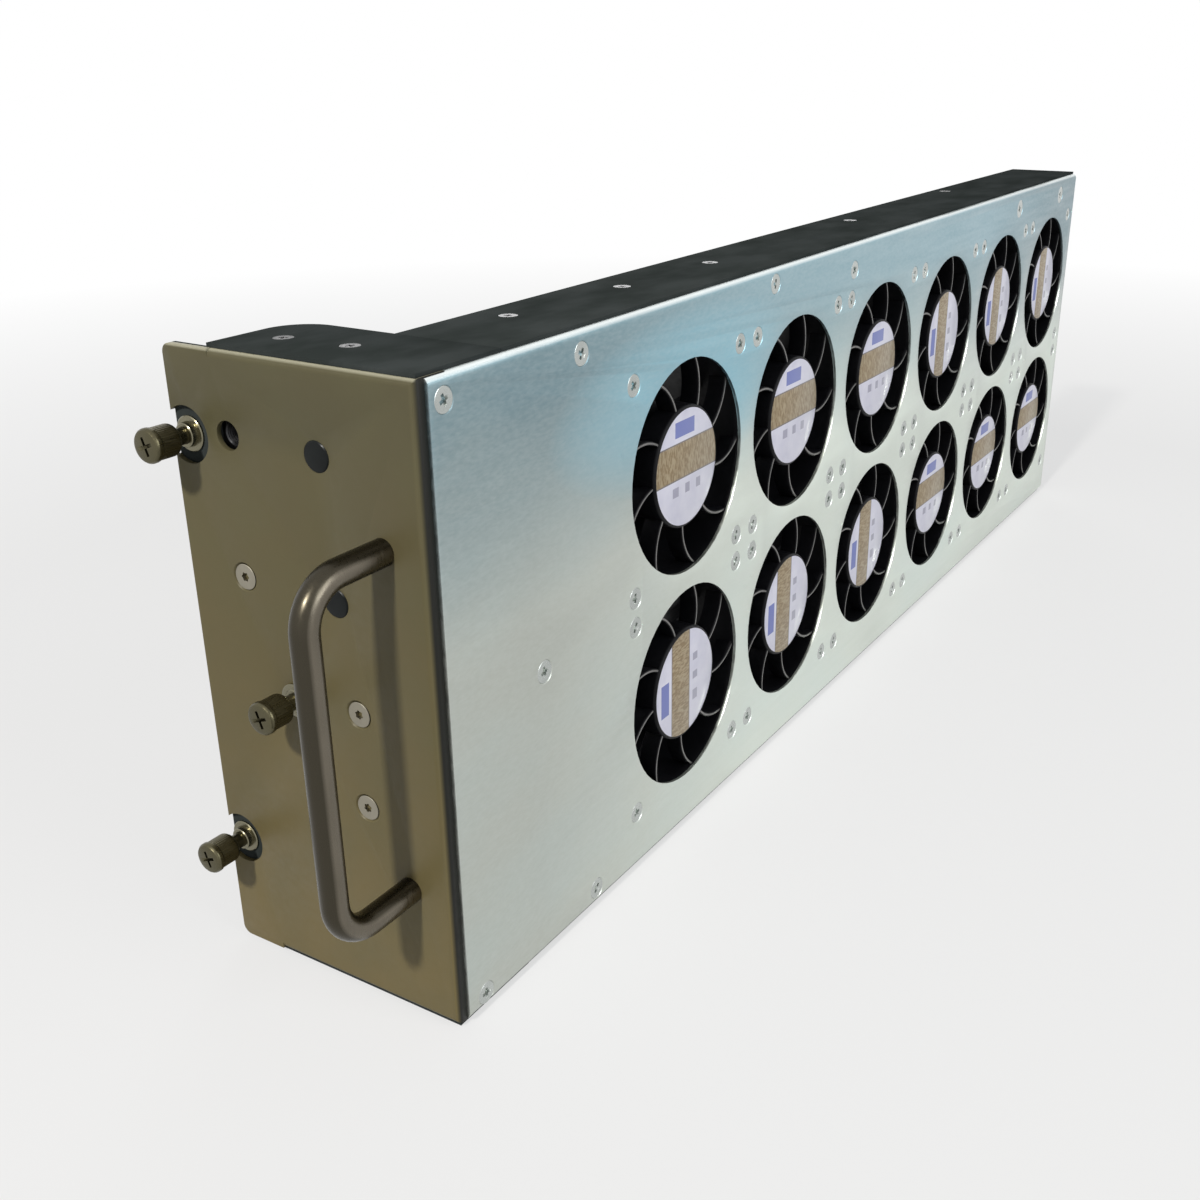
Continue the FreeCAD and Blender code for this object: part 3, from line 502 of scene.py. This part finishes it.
def joined(meshes):
    """One mesh that holds all the given ones."""
    bm = bmesh.new()
    for mesh in meshes:
        bm.from_mesh(mesh)
    result = bpy.data.meshes.new(meshes[0].name + "_all")
    bm.to_mesh(result)
    bm.free()
    return result


def apply_changes(piece):
    """Replaces the mesh by what its modifiers make of it."""
    depsgraph = bpy.context.evaluated_depsgraph_get()
    result = bpy.data.meshes.new_from_object(piece.evaluated_get(depsgraph))
    piece.modifiers.clear()
    piece.data = result


def cut_away(piece, tool_mesh):
    tool = add_object("tool", tool_mesh)
    change = piece.modifiers.new("cut", "BOOLEAN")
    change.operation = "DIFFERENCE"
    change.solver = "EXACT"
    change.object = tool
    bpy.context.view_layer.update()
    apply_changes(piece)
    bpy.data.objects.remove(tool)


def carved(mesh, tool_mesh):
    """The mesh less what lies inside the tool."""
    piece = add_object("head", mesh)
    cut_away(piece, tool_mesh)
    result = piece.data
    bpy.data.objects.remove(piece)
    return result


def soft_edges(piece, width):
    """Small rounding on every sharp edge."""
    change = piece.modifiers.new("edges", "BEVEL")
    change.width = width * MM
    change.segments = 2
    change.limit_method = "ANGLE"
    change.angle_limit = math.radians(50.0)
    change.use_clamp_overlap = True
    apply_changes(piece)


def welded_copy(node):
    """The node's own mesh with its split corners joined and its flat faces plain."""
    bm = bmesh.new()
    bm.from_mesh(nodes[node].data)
    bmesh.ops.remove_doubles(bm, verts=bm.verts, dist=2e-6)
    corners = [tuple(v.co) for v in bm.verts]
    bm.verts.index_update()
    polygons = [tuple(v.index for v in f.verts) for f in bm.faces]
    bm.free()
    mesh = bpy.data.meshes.new(node + "_skin")
    mesh.from_pydata(corners, [], polygons)
    return mesh


def dress(piece, body, replaced=()):
    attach(piece, body)
    if replaced:
        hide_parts(*replaced)


# Countersunk screws and the sheets they sit in.

def facing(direction):
    """Rotation that turns +X to a row axis."""
    turns = {
        "+x": Matrix.Identity(4),
        "-y": Matrix.Rotation(-QUARTER_TURN, 4, "Z"),
        "+z": Matrix.Rotation(-QUARTER_TURN, 4, "Y"),
    }
    return turns[direction]


def set_in(point, direction):
    """Places a shape that faces +X at a point of a face that looks another way."""
    return Matrix.Translation(Vector(point) * MM) @ facing(direction)


def seat_tools(kind, direction, points):
    """Cones that sink countersunk seats into a sheet's face."""
    radius, depth = SEATS[kind]
    lift, flare = 1.0, 0.9
    profile = [(lift, 0.0), (lift, radius + flare), (0.0, radius), (-depth, radius - depth), (-depth, 0.0)]
    tools = []
    for point in points:
        tool = lathe("dimple", "x", profile, segments=32)
        tool.transform(set_in(point, direction))
        tools.append(tool)
    return tools


def make_sheets():
    """The sheet-metal nodes with screw seats sunk into them and their cut edges broken."""
    plate_seats = seat_tools("plate", "+x", FAN_SCREWS + PLATE_SCREWS)
    plate_seats += seat_tools("post", "+x", POST_SCREWS)
    for node, look, slot, edge, tools in (
        ("fan_plate", "zinc", "bright_sheet", 0.22, plate_seats),
        ("head_cover", "dark", "dark_sheet", 0.2, seat_tools("roof", "+z", HEAD_ROOF_SCREWS)),
        ("duct_channel", "dark", "dark_sheet", 0.2, seat_tools("roof", "+z", DUCT_ROOF_SCREWS)),
        ("front_panel", "panel", "panel_paint", 0.3, seat_tools("panel", "-y", PANEL_SCREWS)),
    ):
        piece = add_object(node + "_sheet", welded_copy(node))
        cut_away(piece, joined(tools))
        soft_edges(piece, edge)
        smooth_by_angle(piece.data)
        coat(piece.data, look)
        dress(piece, "tray", [node])


def sunk_head(radius, dish=0.0):
    """Countersunk screw head facing +X, its rim a hair below the sheet's face."""
    cone = -0.75 * radius
    profile = [
        (HEAD_TOP - 0.06 - dish, 0.0), (HEAD_TOP, 0.6 * radius), (HEAD_TOP, radius - 0.2),
        (HEAD_TOP - 0.10, radius - 0.05), (HEAD_TOP - 0.28, radius - 0.15),
        (cone, 0.38 * radius), (cone, 0.0),
    ]
    return lathe("sunk_head", "x", profile, segments=40)


WEDGE_FACES = [(0, 1, 2, 3), (7, 6, 5, 4), (0, 4, 5, 1), (1, 5, 6, 2), (2, 6, 7, 3), (3, 7, 4, 0)]


def wedge_points(levels, turn):
    """Corners of a tapered block between two levels of (along, half length, half width)."""
    return [
        (along, *turned(u * length, v * width, turn))
        for along, length, width in levels
        for u, v in ((-1, -1), (1, -1), (1, 1), (-1, 1))
    ]


def cross_recess(mesh, reach, width, depth):
    """Cuts a cross recess into a head that faces +X."""
    blades, lift = 2, 0.5
    levels = ((HEAD_TOP + lift, reach, width / 2), (HEAD_TOP - depth, 0.55 * reach, 0.35 * width))
    for blade in range(blades):
        turn = math.pi * blade / blades + math.pi / 8
        mesh = carved(mesh, new_mesh("recess", wedge_points(levels, turn), WEDGE_FACES))
    return shaded_recess(mesh, reach)


def socket_recess(mesh, radius, depth):
    """Cuts a six-lobed driver socket into a head that faces +X."""
    lobes, swell, lift = 6, 0.13, 0.5

    def wave(index, r, angle):
        return r * (1 + swell * math.cos(lobes * angle))

    floor = HEAD_TOP - depth
    profile = [(HEAD_TOP + lift, 0.0), (HEAD_TOP + lift, radius), (floor, 0.86 * radius), (floor, 0.0)]
    mesh = carved(mesh, lathe("socket", "x", profile, segments=48, radius_at=wave))
    return shaded_recess(mesh, 1.14 * radius)


def shaded_recess(mesh, reach):
    """Gives the walls and floor of a recess that faces +X the second material."""
    while len(mesh.materials) < 2:
        mesh.materials.append(None)
    for face in mesh.polygons:
        across = math.hypot(face.center.y, face.center.z)
        inside = across < reach * MM and face.center.x < (HEAD_TOP - 0.1) * MM
        face.material_index = 1 if inside else 0
    return mesh


def placed_screws(name, head, direction, points, look="screw"):
    """Copies of a head in one piece, each turned a little from the one before."""
    copies = []
    for index, point in enumerate(points):
        copy = head.copy()
        copy.transform(set_in(point, direction) @ Matrix.Rotation(HEAD_SPIN * index, 4, "X"))
        copies.append(copy)
    mesh = joined(copies)
    smooth_by_angle(mesh)
    coat(mesh, look, "recess")
    dress(add_object(name, mesh), "tray")


def make_screws():
    small = cross_recess(sunk_head(radius=3.7), reach=2.0, width=1.25, depth=1.3)
    placed_screws("fan_screws", small, "+x", FAN_SCREWS)
    placed_screws("plate_screws", small, "+x", PLATE_SCREWS)
    large = cross_recess(sunk_head(radius=4.8, dish=0.3), reach=2.3, width=1.0, depth=1.6)
    placed_screws("post_screws", large, "+x", POST_SCREWS)
    roof = cross_recess(sunk_head(radius=3.1), reach=1.6, width=0.8, depth=1.2)
    placed_screws("roof_screws", roof, "+z", HEAD_ROOF_SCREWS + DUCT_ROOF_SCREWS, "roof_screw")
    panel = socket_recess(sunk_head(radius=4.0), radius=1.35, depth=1.3)
    placed_screws("panel_screws", panel, "-y", PANEL_SCREWS, "panel_screw")


# Fans.

def square_reach(c, s):
    """Distance at which a ray from the middle leaves the housing's rounded square."""
    corner = 4.0
    inset = HALF_WIDTH - corner
    reach = HALF_WIDTH / max(abs(c), abs(s))
    if min(abs(reach * c), abs(reach * s)) <= inset:
        return reach
    along = inset * (abs(c) + abs(s))
    return along + math.sqrt(max(corner ** 2 - (2 * inset ** 2 - along ** 2), 0.0))


def housing_ring():
    """Square block with a round bore that widens a little at both faces."""
    segments = 96
    chamfer, lip, flare, flare_depth = 0.4, 0.3, 1.2, 2.65
    # Place along x, whether the ring lies on the bore, and the bore's radius or the side's inset.
    levels = (
        (-HALF_DEPTH, True, BORE + flare), (-HALF_DEPTH, False, chamfer), (-HALF_DEPTH + chamfer, False, 0.0),
        (HALF_DEPTH - chamfer, False, 0.0), (HALF_DEPTH, False, chamfer), (HALF_DEPTH, True, BORE + lip),
        (HALF_DEPTH - lip, True, BORE), (-HALF_DEPTH + flare_depth, True, BORE),
    )
    rings = []
    for x, on_bore, size in levels:
        ring = []
        for step in range(segments):
            angle = math.tau * step / segments
            c, s = math.cos(angle), math.sin(angle)
            reach = size if on_bore else square_reach(c, s) * (1.0 - size / HALF_WIDTH)
            ring.append((x, reach * c, reach * s))
        rings.append(ring)
    return skinned("housing", rings, looped=True)


def screw_boss(angle):
    """Ring round a fan's corner hole, seen from the intake side."""
    distance = FAN_SCREW * math.sqrt(2)
    centre = (-HALF_DEPTH, distance * math.cos(angle), distance * math.sin(angle))
    profile = [(0.25, 2.1), (0.0, 2.3), (0.0, 3.6), (0.25, 3.8), (0.25, 2.1)]
    return lathe("boss", "x", profile, segments=32, centre=centre)


def stator_vane(turn):
    """One curved vane from the hub to the bore, its outer edge rounded and its root swept."""
    low, high, steps = 11.4, 18.2, 14
    start, end, sweep = -104.0, -44.0, 0.56
    curl = 1.22 * (BORE - HUB)
    middle_y, middle_z = (BORE + HUB) / 2 - 0.29 * curl, 0.74 * curl
    section = [
        (low, -0.35), (low, 0.35), (high - 0.9, 0.7), (high - 0.25, 0.6), (high, 0.32),
        (high, -0.32), (high - 0.25, -0.6), (high - 0.9, -0.7),
    ]
    rings = []
    for step in range(steps + 1):
        angle = math.radians(start + (end - start) * step / steps)
        lean = sweep * (step / steps - 0.5)
        ring = []
        for x, side in section:
            radius = curl + side + lean * (high - x) / (high - low)
            y = middle_y + radius * math.cos(angle)
            z = middle_z + radius * math.sin(angle)
            ring.append((x, *turned(y, z, turn)))
        rings.append(ring)
    return skinned("vane", rings, ends=flat_ends(len(section), len(rings)))


def stator_hub():
    """Motor hub with a rounded outer rim and a shallow seat for the label."""
    back, rim, steps = 11.0, 1.1, 4
    seat, seat_floor = 20.6, HALF_DEPTH - 0.25
    profile = [(back, 0.0), (back, HUB)]
    for step in range(steps + 1):
        angle = QUARTER_TURN * step / steps
        profile.append((HALF_DEPTH - rim + rim * math.sin(angle), HUB - rim + rim * math.cos(angle)))
    profile += [(HALF_DEPTH, seat + 0.15), (seat_floor, seat), (seat_floor, 0.0)]
    return lathe("stator_hub", "x", profile, segments=72)


def fan_housing_mesh():
    vane_count, outermost = 9, 17.7
    bosses = [screw_boss(QUARTER_TURN * (corner + 0.5)) for corner in range(4)]
    housing = joined([housing_ring()] + bosses + [stator_hub()])
    vanes = [stator_vane(math.tau * vane / vane_count) for vane in range(vane_count)]
    plastic = len(housing.polygons)
    mesh = joined([housing] + vanes)
    smooth_by_angle(mesh, degrees=34.0)
    coat(mesh, "frame", "edge")
    # Vane faces at the front edge that face +X get the lighter edge plastic, a painted highlight.
    for face in mesh.polygons:
        painted_highlight = face.normal.x > 0.9 and face.center.x > outermost * MM
        face.material_index = 1 if face.index >= plastic and painted_highlight else 0
    return mesh


ROTOR_LOW, ROTOR_HIGH = -17.5, 10.6


def blade_mesh(turn):
    """One impeller blade: a cambered section that twists from root to tip."""
    stations, steps = 8, 12
    root, tip = 18.5, 36.9
    curl, start, end = 26.0, 105.5, 167.5
    lead, sweep = math.radians(4.0), math.radians(9.0)
    middle = (ROTOR_LOW + ROTOR_HIGH) / 2 + 0.6 * curl
    rings = []
    for station in range(stations + 1):
        share = station / stations
        radius = root + (tip - root) * share
        spread = 0.86 + 0.26 * share
        ring = []
        for side in (1, -1):
            for step in range(steps + 1):
                part = step / steps if side == 1 else 1 - step / steps
                angle = math.radians(start + (end - start) * part)
                camber = math.sin(math.pi * min(1.0, 0.12 + 0.88 * part)) ** 0.7
                thick = (0.25 + 1.05 * camber) * side * (1.0 - 0.35 * share)
                x = middle + (curl + 0.75 * thick) * math.cos(angle)
                tangential = spread * (-0.62 * curl + (curl + 0.75 * thick) * math.sin(angle))
                around = tangential / radius - sweep * share + lead + turn
                ring.append((x, -radius * math.sin(around), radius * math.cos(around)))
        rings.append(ring)
    return skinned("blade", rings, ends=blade_ends(len(rings[0]), len(rings)))


def blade_ends(size, count):
    """Strips of quads that close a blade at its root and its tip."""
    ends = []
    for first, back in ((0, False), (size * (count - 1), True)):
        for step in range(size // 2 - 1):
            places = (step, step + 1, size - 2 - step, size - 1 - step)
            quad = tuple(first + place for place in places)
            ends.append(tuple(reversed(quad)) if back else quad)
    return ends


def fan_rotor_mesh():
    blade_count, steps = 5, 5
    dome, dome_x, dome_radius = 3.0, -14.1, 16.9
    profile = [(ROTOR_LOW, 0.0), (ROTOR_LOW, 4.0), (dome_x - dome, 4.4), (dome_x - dome, 16.6)]
    for step in range(steps + 1):
        angle = QUARTER_TURN * step / steps
        profile.append((dome_x - dome * math.cos(angle), dome_radius + dome * math.sin(angle)))
    profile += [(ROTOR_HIGH - 0.6, 19.9), (ROTOR_HIGH, 19.4), (ROTOR_HIGH, 0.0)]
    hub = lathe("rotor_hub", "x", profile, segments=72)
    mesh = joined([hub] + [blade_mesh(math.tau * blade / blade_count) for blade in range(blade_count)])
    smooth_by_angle(mesh, degrees=38.0)
    coat(mesh, "rotor")
    return mesh


def label_mesh():
    back, front = HALF_DEPTH - 0.25, HALF_DEPTH - 0.02
    profile = [(back, 0.0), (back, LABEL), (front - 0.05, LABEL), (front, LABEL - 0.1), (front, 0.0)]
    mesh = lathe("label", "x", profile, segments=72)
    coat(mesh, "label")
    return mesh


def make_fans():
    housing, rotor, label = fan_housing_mesh(), fan_rotor_mesh(), label_mesh()
    for level, z in FAN_Z.items():
        for column, y in enumerate(FAN_Y, start=1):
            name = "%s_%d" % (level, column)
            frame_piece = add_object("fan_housing_" + name, housing)
            rotor_piece = add_object("fan_impeller_" + name, rotor)
            label_piece = add_object("fan_label_" + name, label)
            for piece in (frame_piece, rotor_piece, label_piece):
                piece.location = Vector((FAN_X, y, z)) * MM
            if (level, column) in UPRIGHT_LABELS:
                label_piece.rotation_euler = (QUARTER_TURN, 0.0, 0.0)
            dress(frame_piece, "tray", ["fan_frame_" + name])
            dress(rotor_piece, "impeller_" + name, ["fan_rotor_" + name])
            dress(label_piece, "tray")


# Handle, captive screws, lenses and key bush.

def make_handle():
    """Round rod that leaves the panel, bends down its front and comes back."""
    radius, bend, reach = 4.0, 13.0, 30.4
    arc_steps, sides = 12, 32
    straight = reach - bend
    path = [(0.0, HANDLE_LOW)]
    for step in range(arc_steps + 1):
        angle = QUARTER_TURN * step / arc_steps
        path.append((-straight - bend * math.sin(angle), HANDLE_LOW + bend - bend * math.cos(angle)))
    for step in range(arc_steps + 1):
        angle = QUARTER_TURN * step / arc_steps
        path.append((-straight - bend * math.cos(angle), HANDLE_HIGH - bend + bend * math.sin(angle)))
    path.append((0.0, HANDLE_HIGH))
    rings = []
    for index, (y, z) in enumerate(path):
        before = Vector(path[max(index - 1, 0)])
        after = Vector(path[min(index + 1, len(path) - 1)])
        run = (after - before).normalized()
        ring = []
        for side in range(sides):
            angle = math.tau * side / sides
            offset = radius * math.cos(angle)
            x = HANDLE_X + radius * math.sin(angle)
            ring.append((x, y + PANEL_FACE - run.y * offset, z + run.x * offset))
        rings.append(ring)
    mesh = skinned("bow_handle", rings, ends=flat_ends(sides, len(rings)))
    dress(add_object("bow_handle", mesh, "handle"), "tray", ["handle"])


def knurled(index, radius, angle):
    """Fine straight knurl on the rings of the knob's grip."""
    if index not in KNURL_RINGS:
        return radius
    return radius - KNURL_DEPTH * (1 - abs(math.cos(KNURL_WAVES * angle)))


def shank(start, shoulder, tip):
    """Shank profile: full under the knob, a neck where the ring sits, then the thread."""
    full, neck, root, crest_radius = 2.47, 2.1, 2.2, 2.48
    rows = [(start, full), (shoulder, full), (shoulder, neck), (tip - 1.98, neck), (tip - 1.9, 2.3)]
    for crest in (tip - 1.75, tip - 1.15):
        rows += [(crest, crest_radius), (crest + 0.15, crest_radius), (crest + 0.35, root)]
    return rows + [(tip - 0.6, 2.45), (tip - 0.45, 2.45), (tip, 1.95), (tip, 0.0)]


def slot_tool(x, z, turn):
    """Wedge that cuts one arm of the cross in the knob's outer face."""
    levels = ((-0.5, 3.1, 0.55), (1.9, 1.6, 0.35))
    points = [(x + across, KNOB_FRONT + along, z + up) for along, across, up in wedge_points(levels, turn)]
    return new_mesh("slot", points, WEDGE_FACES)


def ferrule_mesh(name, x, z):
    """Pressed-in sleeve with a rim before the sheet and a tail behind it."""
    if name == "middle":
        seat, tail, step, sleeve = PANEL_FACE, PANEL_FACE + PANEL_SHEET, 0.75, 3.7
    else:
        seat = PANEL_FACE + PANEL_SHEET
        tail, step, sleeve = seat + COVER_SHEET, 0.85, 3.75
    front, bore, rim = FERRULE_FRONT, 2.57, 5.3
    profile = [
        (front, bore), (front, 3.3), (front + 0.25, 3.55), (seat - step, sleeve),
        (seat - step + 0.05, rim - 0.3), (seat - 0.55, rim), (seat, rim), (seat, 4.48),
        (tail, 4.4), (tail, bore), (front, bore),
    ]
    return lathe("ferrule", "y", profile, segments=56, centre=(x, 0.0, z))


def make_captive_screws():
    slot_turns = (20.0, 110.0)
    sleeves = []
    for name, (x, z, shoulder, tip) in SCREWS.items():
        profile = [(KNOB_FRONT + along, radius) for along, radius in KNOB]
        profile += shank(profile[-1][0] + 0.4, shoulder, tip)
        mesh = lathe("knob", "y", profile, segments=126, centre=(x, 0.0, z), radius_at=knurled)
        piece = add_object("knurled_screw_" + name, mesh)
        for turn in slot_turns:
            cut_away(piece, slot_tool(x, z, math.radians(turn)))
        smooth_by_angle(piece.data, degrees=28.0)
        coat(piece.data, "knob")
        dress(piece, "screw_" + name, ["captive_screw_" + name])
        sleeves.append(ferrule_mesh(name, x, z))
    mesh = joined(sleeves)
    smooth_by_angle(mesh)
    dress(add_object("screw_ferrules", mesh, "ferrule"), "tray", ["captive_ferrules"])


def make_lenses():
    face, back = PANEL_FACE - 0.4, PANEL_FACE + 12.0
    profile = [
        (face, 0.0), (face, 1.2), (face + 0.02, 3.4), (face + 0.12, 4.1), (face + 0.4, 4.42),
        (face + 0.9, 4.46), (back, 4.2), (back, 0.0),
    ]
    for name, (x, z) in LENSES.items():
        mesh = lathe("lens", "y", profile, segments=48, centre=(x, 0.0, z))
        piece = add_object("light_guide_" + name, mesh, "lens")
        dress(piece, "tray", ["status_lens_" + name])


def make_key_bush():
    """Threaded bush seen deep inside the panel's round hole, in the dark screw metal as painted shade for the
    hole's depth.
    """
    start, end, outer, root, crest = PANEL_FACE + 2.6, PANEL_FACE + 9.0, 4.9, 3.45, 3.2
    pitch, turns = 0.8, 6
    profile = [(start, outer), (start, 3.5), (start + pitch / 2, crest)]
    for turn in range(turns):
        along = start + pitch + pitch * turn
        profile += [(along, root), (along + pitch / 2, crest)]
    profile += [(end, 3.3), (end, outer), (start, outer)]
    x, z = KEY_HOLE
    mesh = lathe("bush", "y", profile, segments=48, centre=(x, 0.0, z))
    # The dark screw metal here is painted shade inside the hole.
    dress(add_object("key_bush", mesh, "roof_screw"), "tray")


def finish_cad_nodes():
    """Looks for the nodes that are shown as they come."""
    for node, look in {
        "rear_cap": "dark", "docking_connector": "connector", "docking_board": "board",
        "docking_board_posts": "post", "controller_board": "board", "controller_board_posts": "post",
        "retaining_ring_upper": "ring", "retaining_ring_middle": "ring", "retaining_ring_lower": "ring",
    }.items():
        coat(nodes[node].data, look)


# Floor and light.

def seen_ray(tree):
    """Socket that is 1 for camera, glossy and transmission rays."""
    path = tree.nodes.new("ShaderNodeLightPath")
    socket = path.outputs["Is Camera Ray"]
    for kind in ("Is Glossy Ray", "Is Transmission Ray"):
        either = tree.nodes.new("ShaderNodeMath")
        either.operation = "MAXIMUM"
        tree.links.new(socket, either.inputs[0])
        tree.links.new(path.outputs[kind], either.inputs[1])
        socket = either.outputs["Value"]
    return socket


def floor_look():
    """Pale floor that glows a little where it is seen, and wholly far from the part."""
    near, far, near_glow = 0.45, 1.3, 0.62
    material = bpy.data.materials.new("floor")
    material.use_nodes = True
    tree = material.node_tree
    shader = tree.nodes["Principled BSDF"]
    shader.inputs["Base Color"].default_value = (0.52, 0.52, 0.52, 1.0)
    shader.inputs["Roughness"].default_value = 0.9
    shader.inputs["Specular IOR Level"].default_value = 0.1
    place = tree.nodes.new("ShaderNodeNewGeometry")
    distance = tree.nodes.new("ShaderNodeVectorMath")
    distance.operation = "LENGTH"
    tree.links.new(place.outputs["Position"], distance.inputs[0])
    fade = tree.nodes.new("ShaderNodeMapRange")
    fade.inputs["From Min"].default_value = near
    fade.inputs["From Max"].default_value = far
    fade.inputs["To Min"].default_value = near_glow
    tree.links.new(distance.outputs["Value"], fade.inputs["Value"])
    share = tree.nodes.new("ShaderNodeMath")
    share.operation = "MULTIPLY"
    tree.links.new(seen_ray(tree), share.inputs[0])
    tree.links.new(fade.outputs["Result"], share.inputs[1])
    glow = tree.nodes.new("ShaderNodeEmission")
    mixer = tree.nodes.new("ShaderNodeMixShader")
    tree.links.new(share.outputs["Value"], mixer.inputs["Fac"])
    tree.links.new(shader.outputs["BSDF"], mixer.inputs[1])
    tree.links.new(glow.outputs["Emission"], mixer.inputs[2])
    tree.links.new(mixer.outputs["Shader"], tree.nodes["Material Output"].inputs["Surface"])
    return material


def add_floor():
    half, below = 6.0, -0.0005
    corners = [(-half, -half, below), (half, -half, below), (half, half, below), (-half, half, below)]
    mesh = bpy.data.meshes.new("floor")
    mesh.from_pydata(corners, [], [(0, 1, 2, 3)])
    floor = add_object("floor", mesh)
    mesh.materials.append(floor_look())


def add_light(name, place, size, power, colour=(1, 1, 1)):
    """Square lamp, its place in metres, that looks at the tray's front half."""
    target = Vector((0.0, -0.1, 0.1))
    data = bpy.data.lights.new(name, "AREA")
    data.shape = "SQUARE"
    data.size = size
    data.energy = power
    data.color = colour
    light = add_object(name, data)
    light.location = place
    light.rotation_euler = (target - light.location).to_track_quat("-Z", "Y").to_euler()


def add_lights():
    add_light("key", (0.12, -1.88, 1.63), size=0.15, power=48.0, colour=(1.0, 0.97, 0.92))
    add_light("side", (1.9, -0.2, 1.0), size=1.2, power=19.0, colour=(0.95, 0.98, 1.0))
    add_light("back", (-1.2, 1.8, 1.2), size=1.2, power=10.0)


def add_world():
    """White where it is seen or mirrored, and a soft even light on everything else."""
    world = bpy.data.worlds.new("studio")
    bpy.context.scene.world = world
    world.use_nodes = True
    tree = world.node_tree
    tree.nodes.clear()
    mixer = tree.nodes.new("ShaderNodeMixShader")
    tree.links.new(seen_ray(tree), mixer.inputs["Fac"])
    for index, colour, strength in ((1, (0.97, 0.99, 1.0, 1.0), 0.30), (2, (1.0, 1.0, 1.0, 1.0), 1.0)):
        background = tree.nodes.new("ShaderNodeBackground")
        background.inputs["Color"].default_value = colour
        background.inputs["Strength"].default_value = strength
        tree.links.new(background.outputs["Background"], mixer.inputs[index])
    output = tree.nodes.new("ShaderNodeOutputWorld")
    tree.links.new(mixer.outputs["Shader"], output.inputs["Surface"])


add_camera()
make_looks()
make_sheets()
make_screws()
make_fans()
make_handle()
make_captive_screws()
make_lenses()
make_key_bush()
finish_cad_nodes()
add_floor()
add_world()
add_lights()
bpy.context.scene.view_settings.view_transform = "Standard"
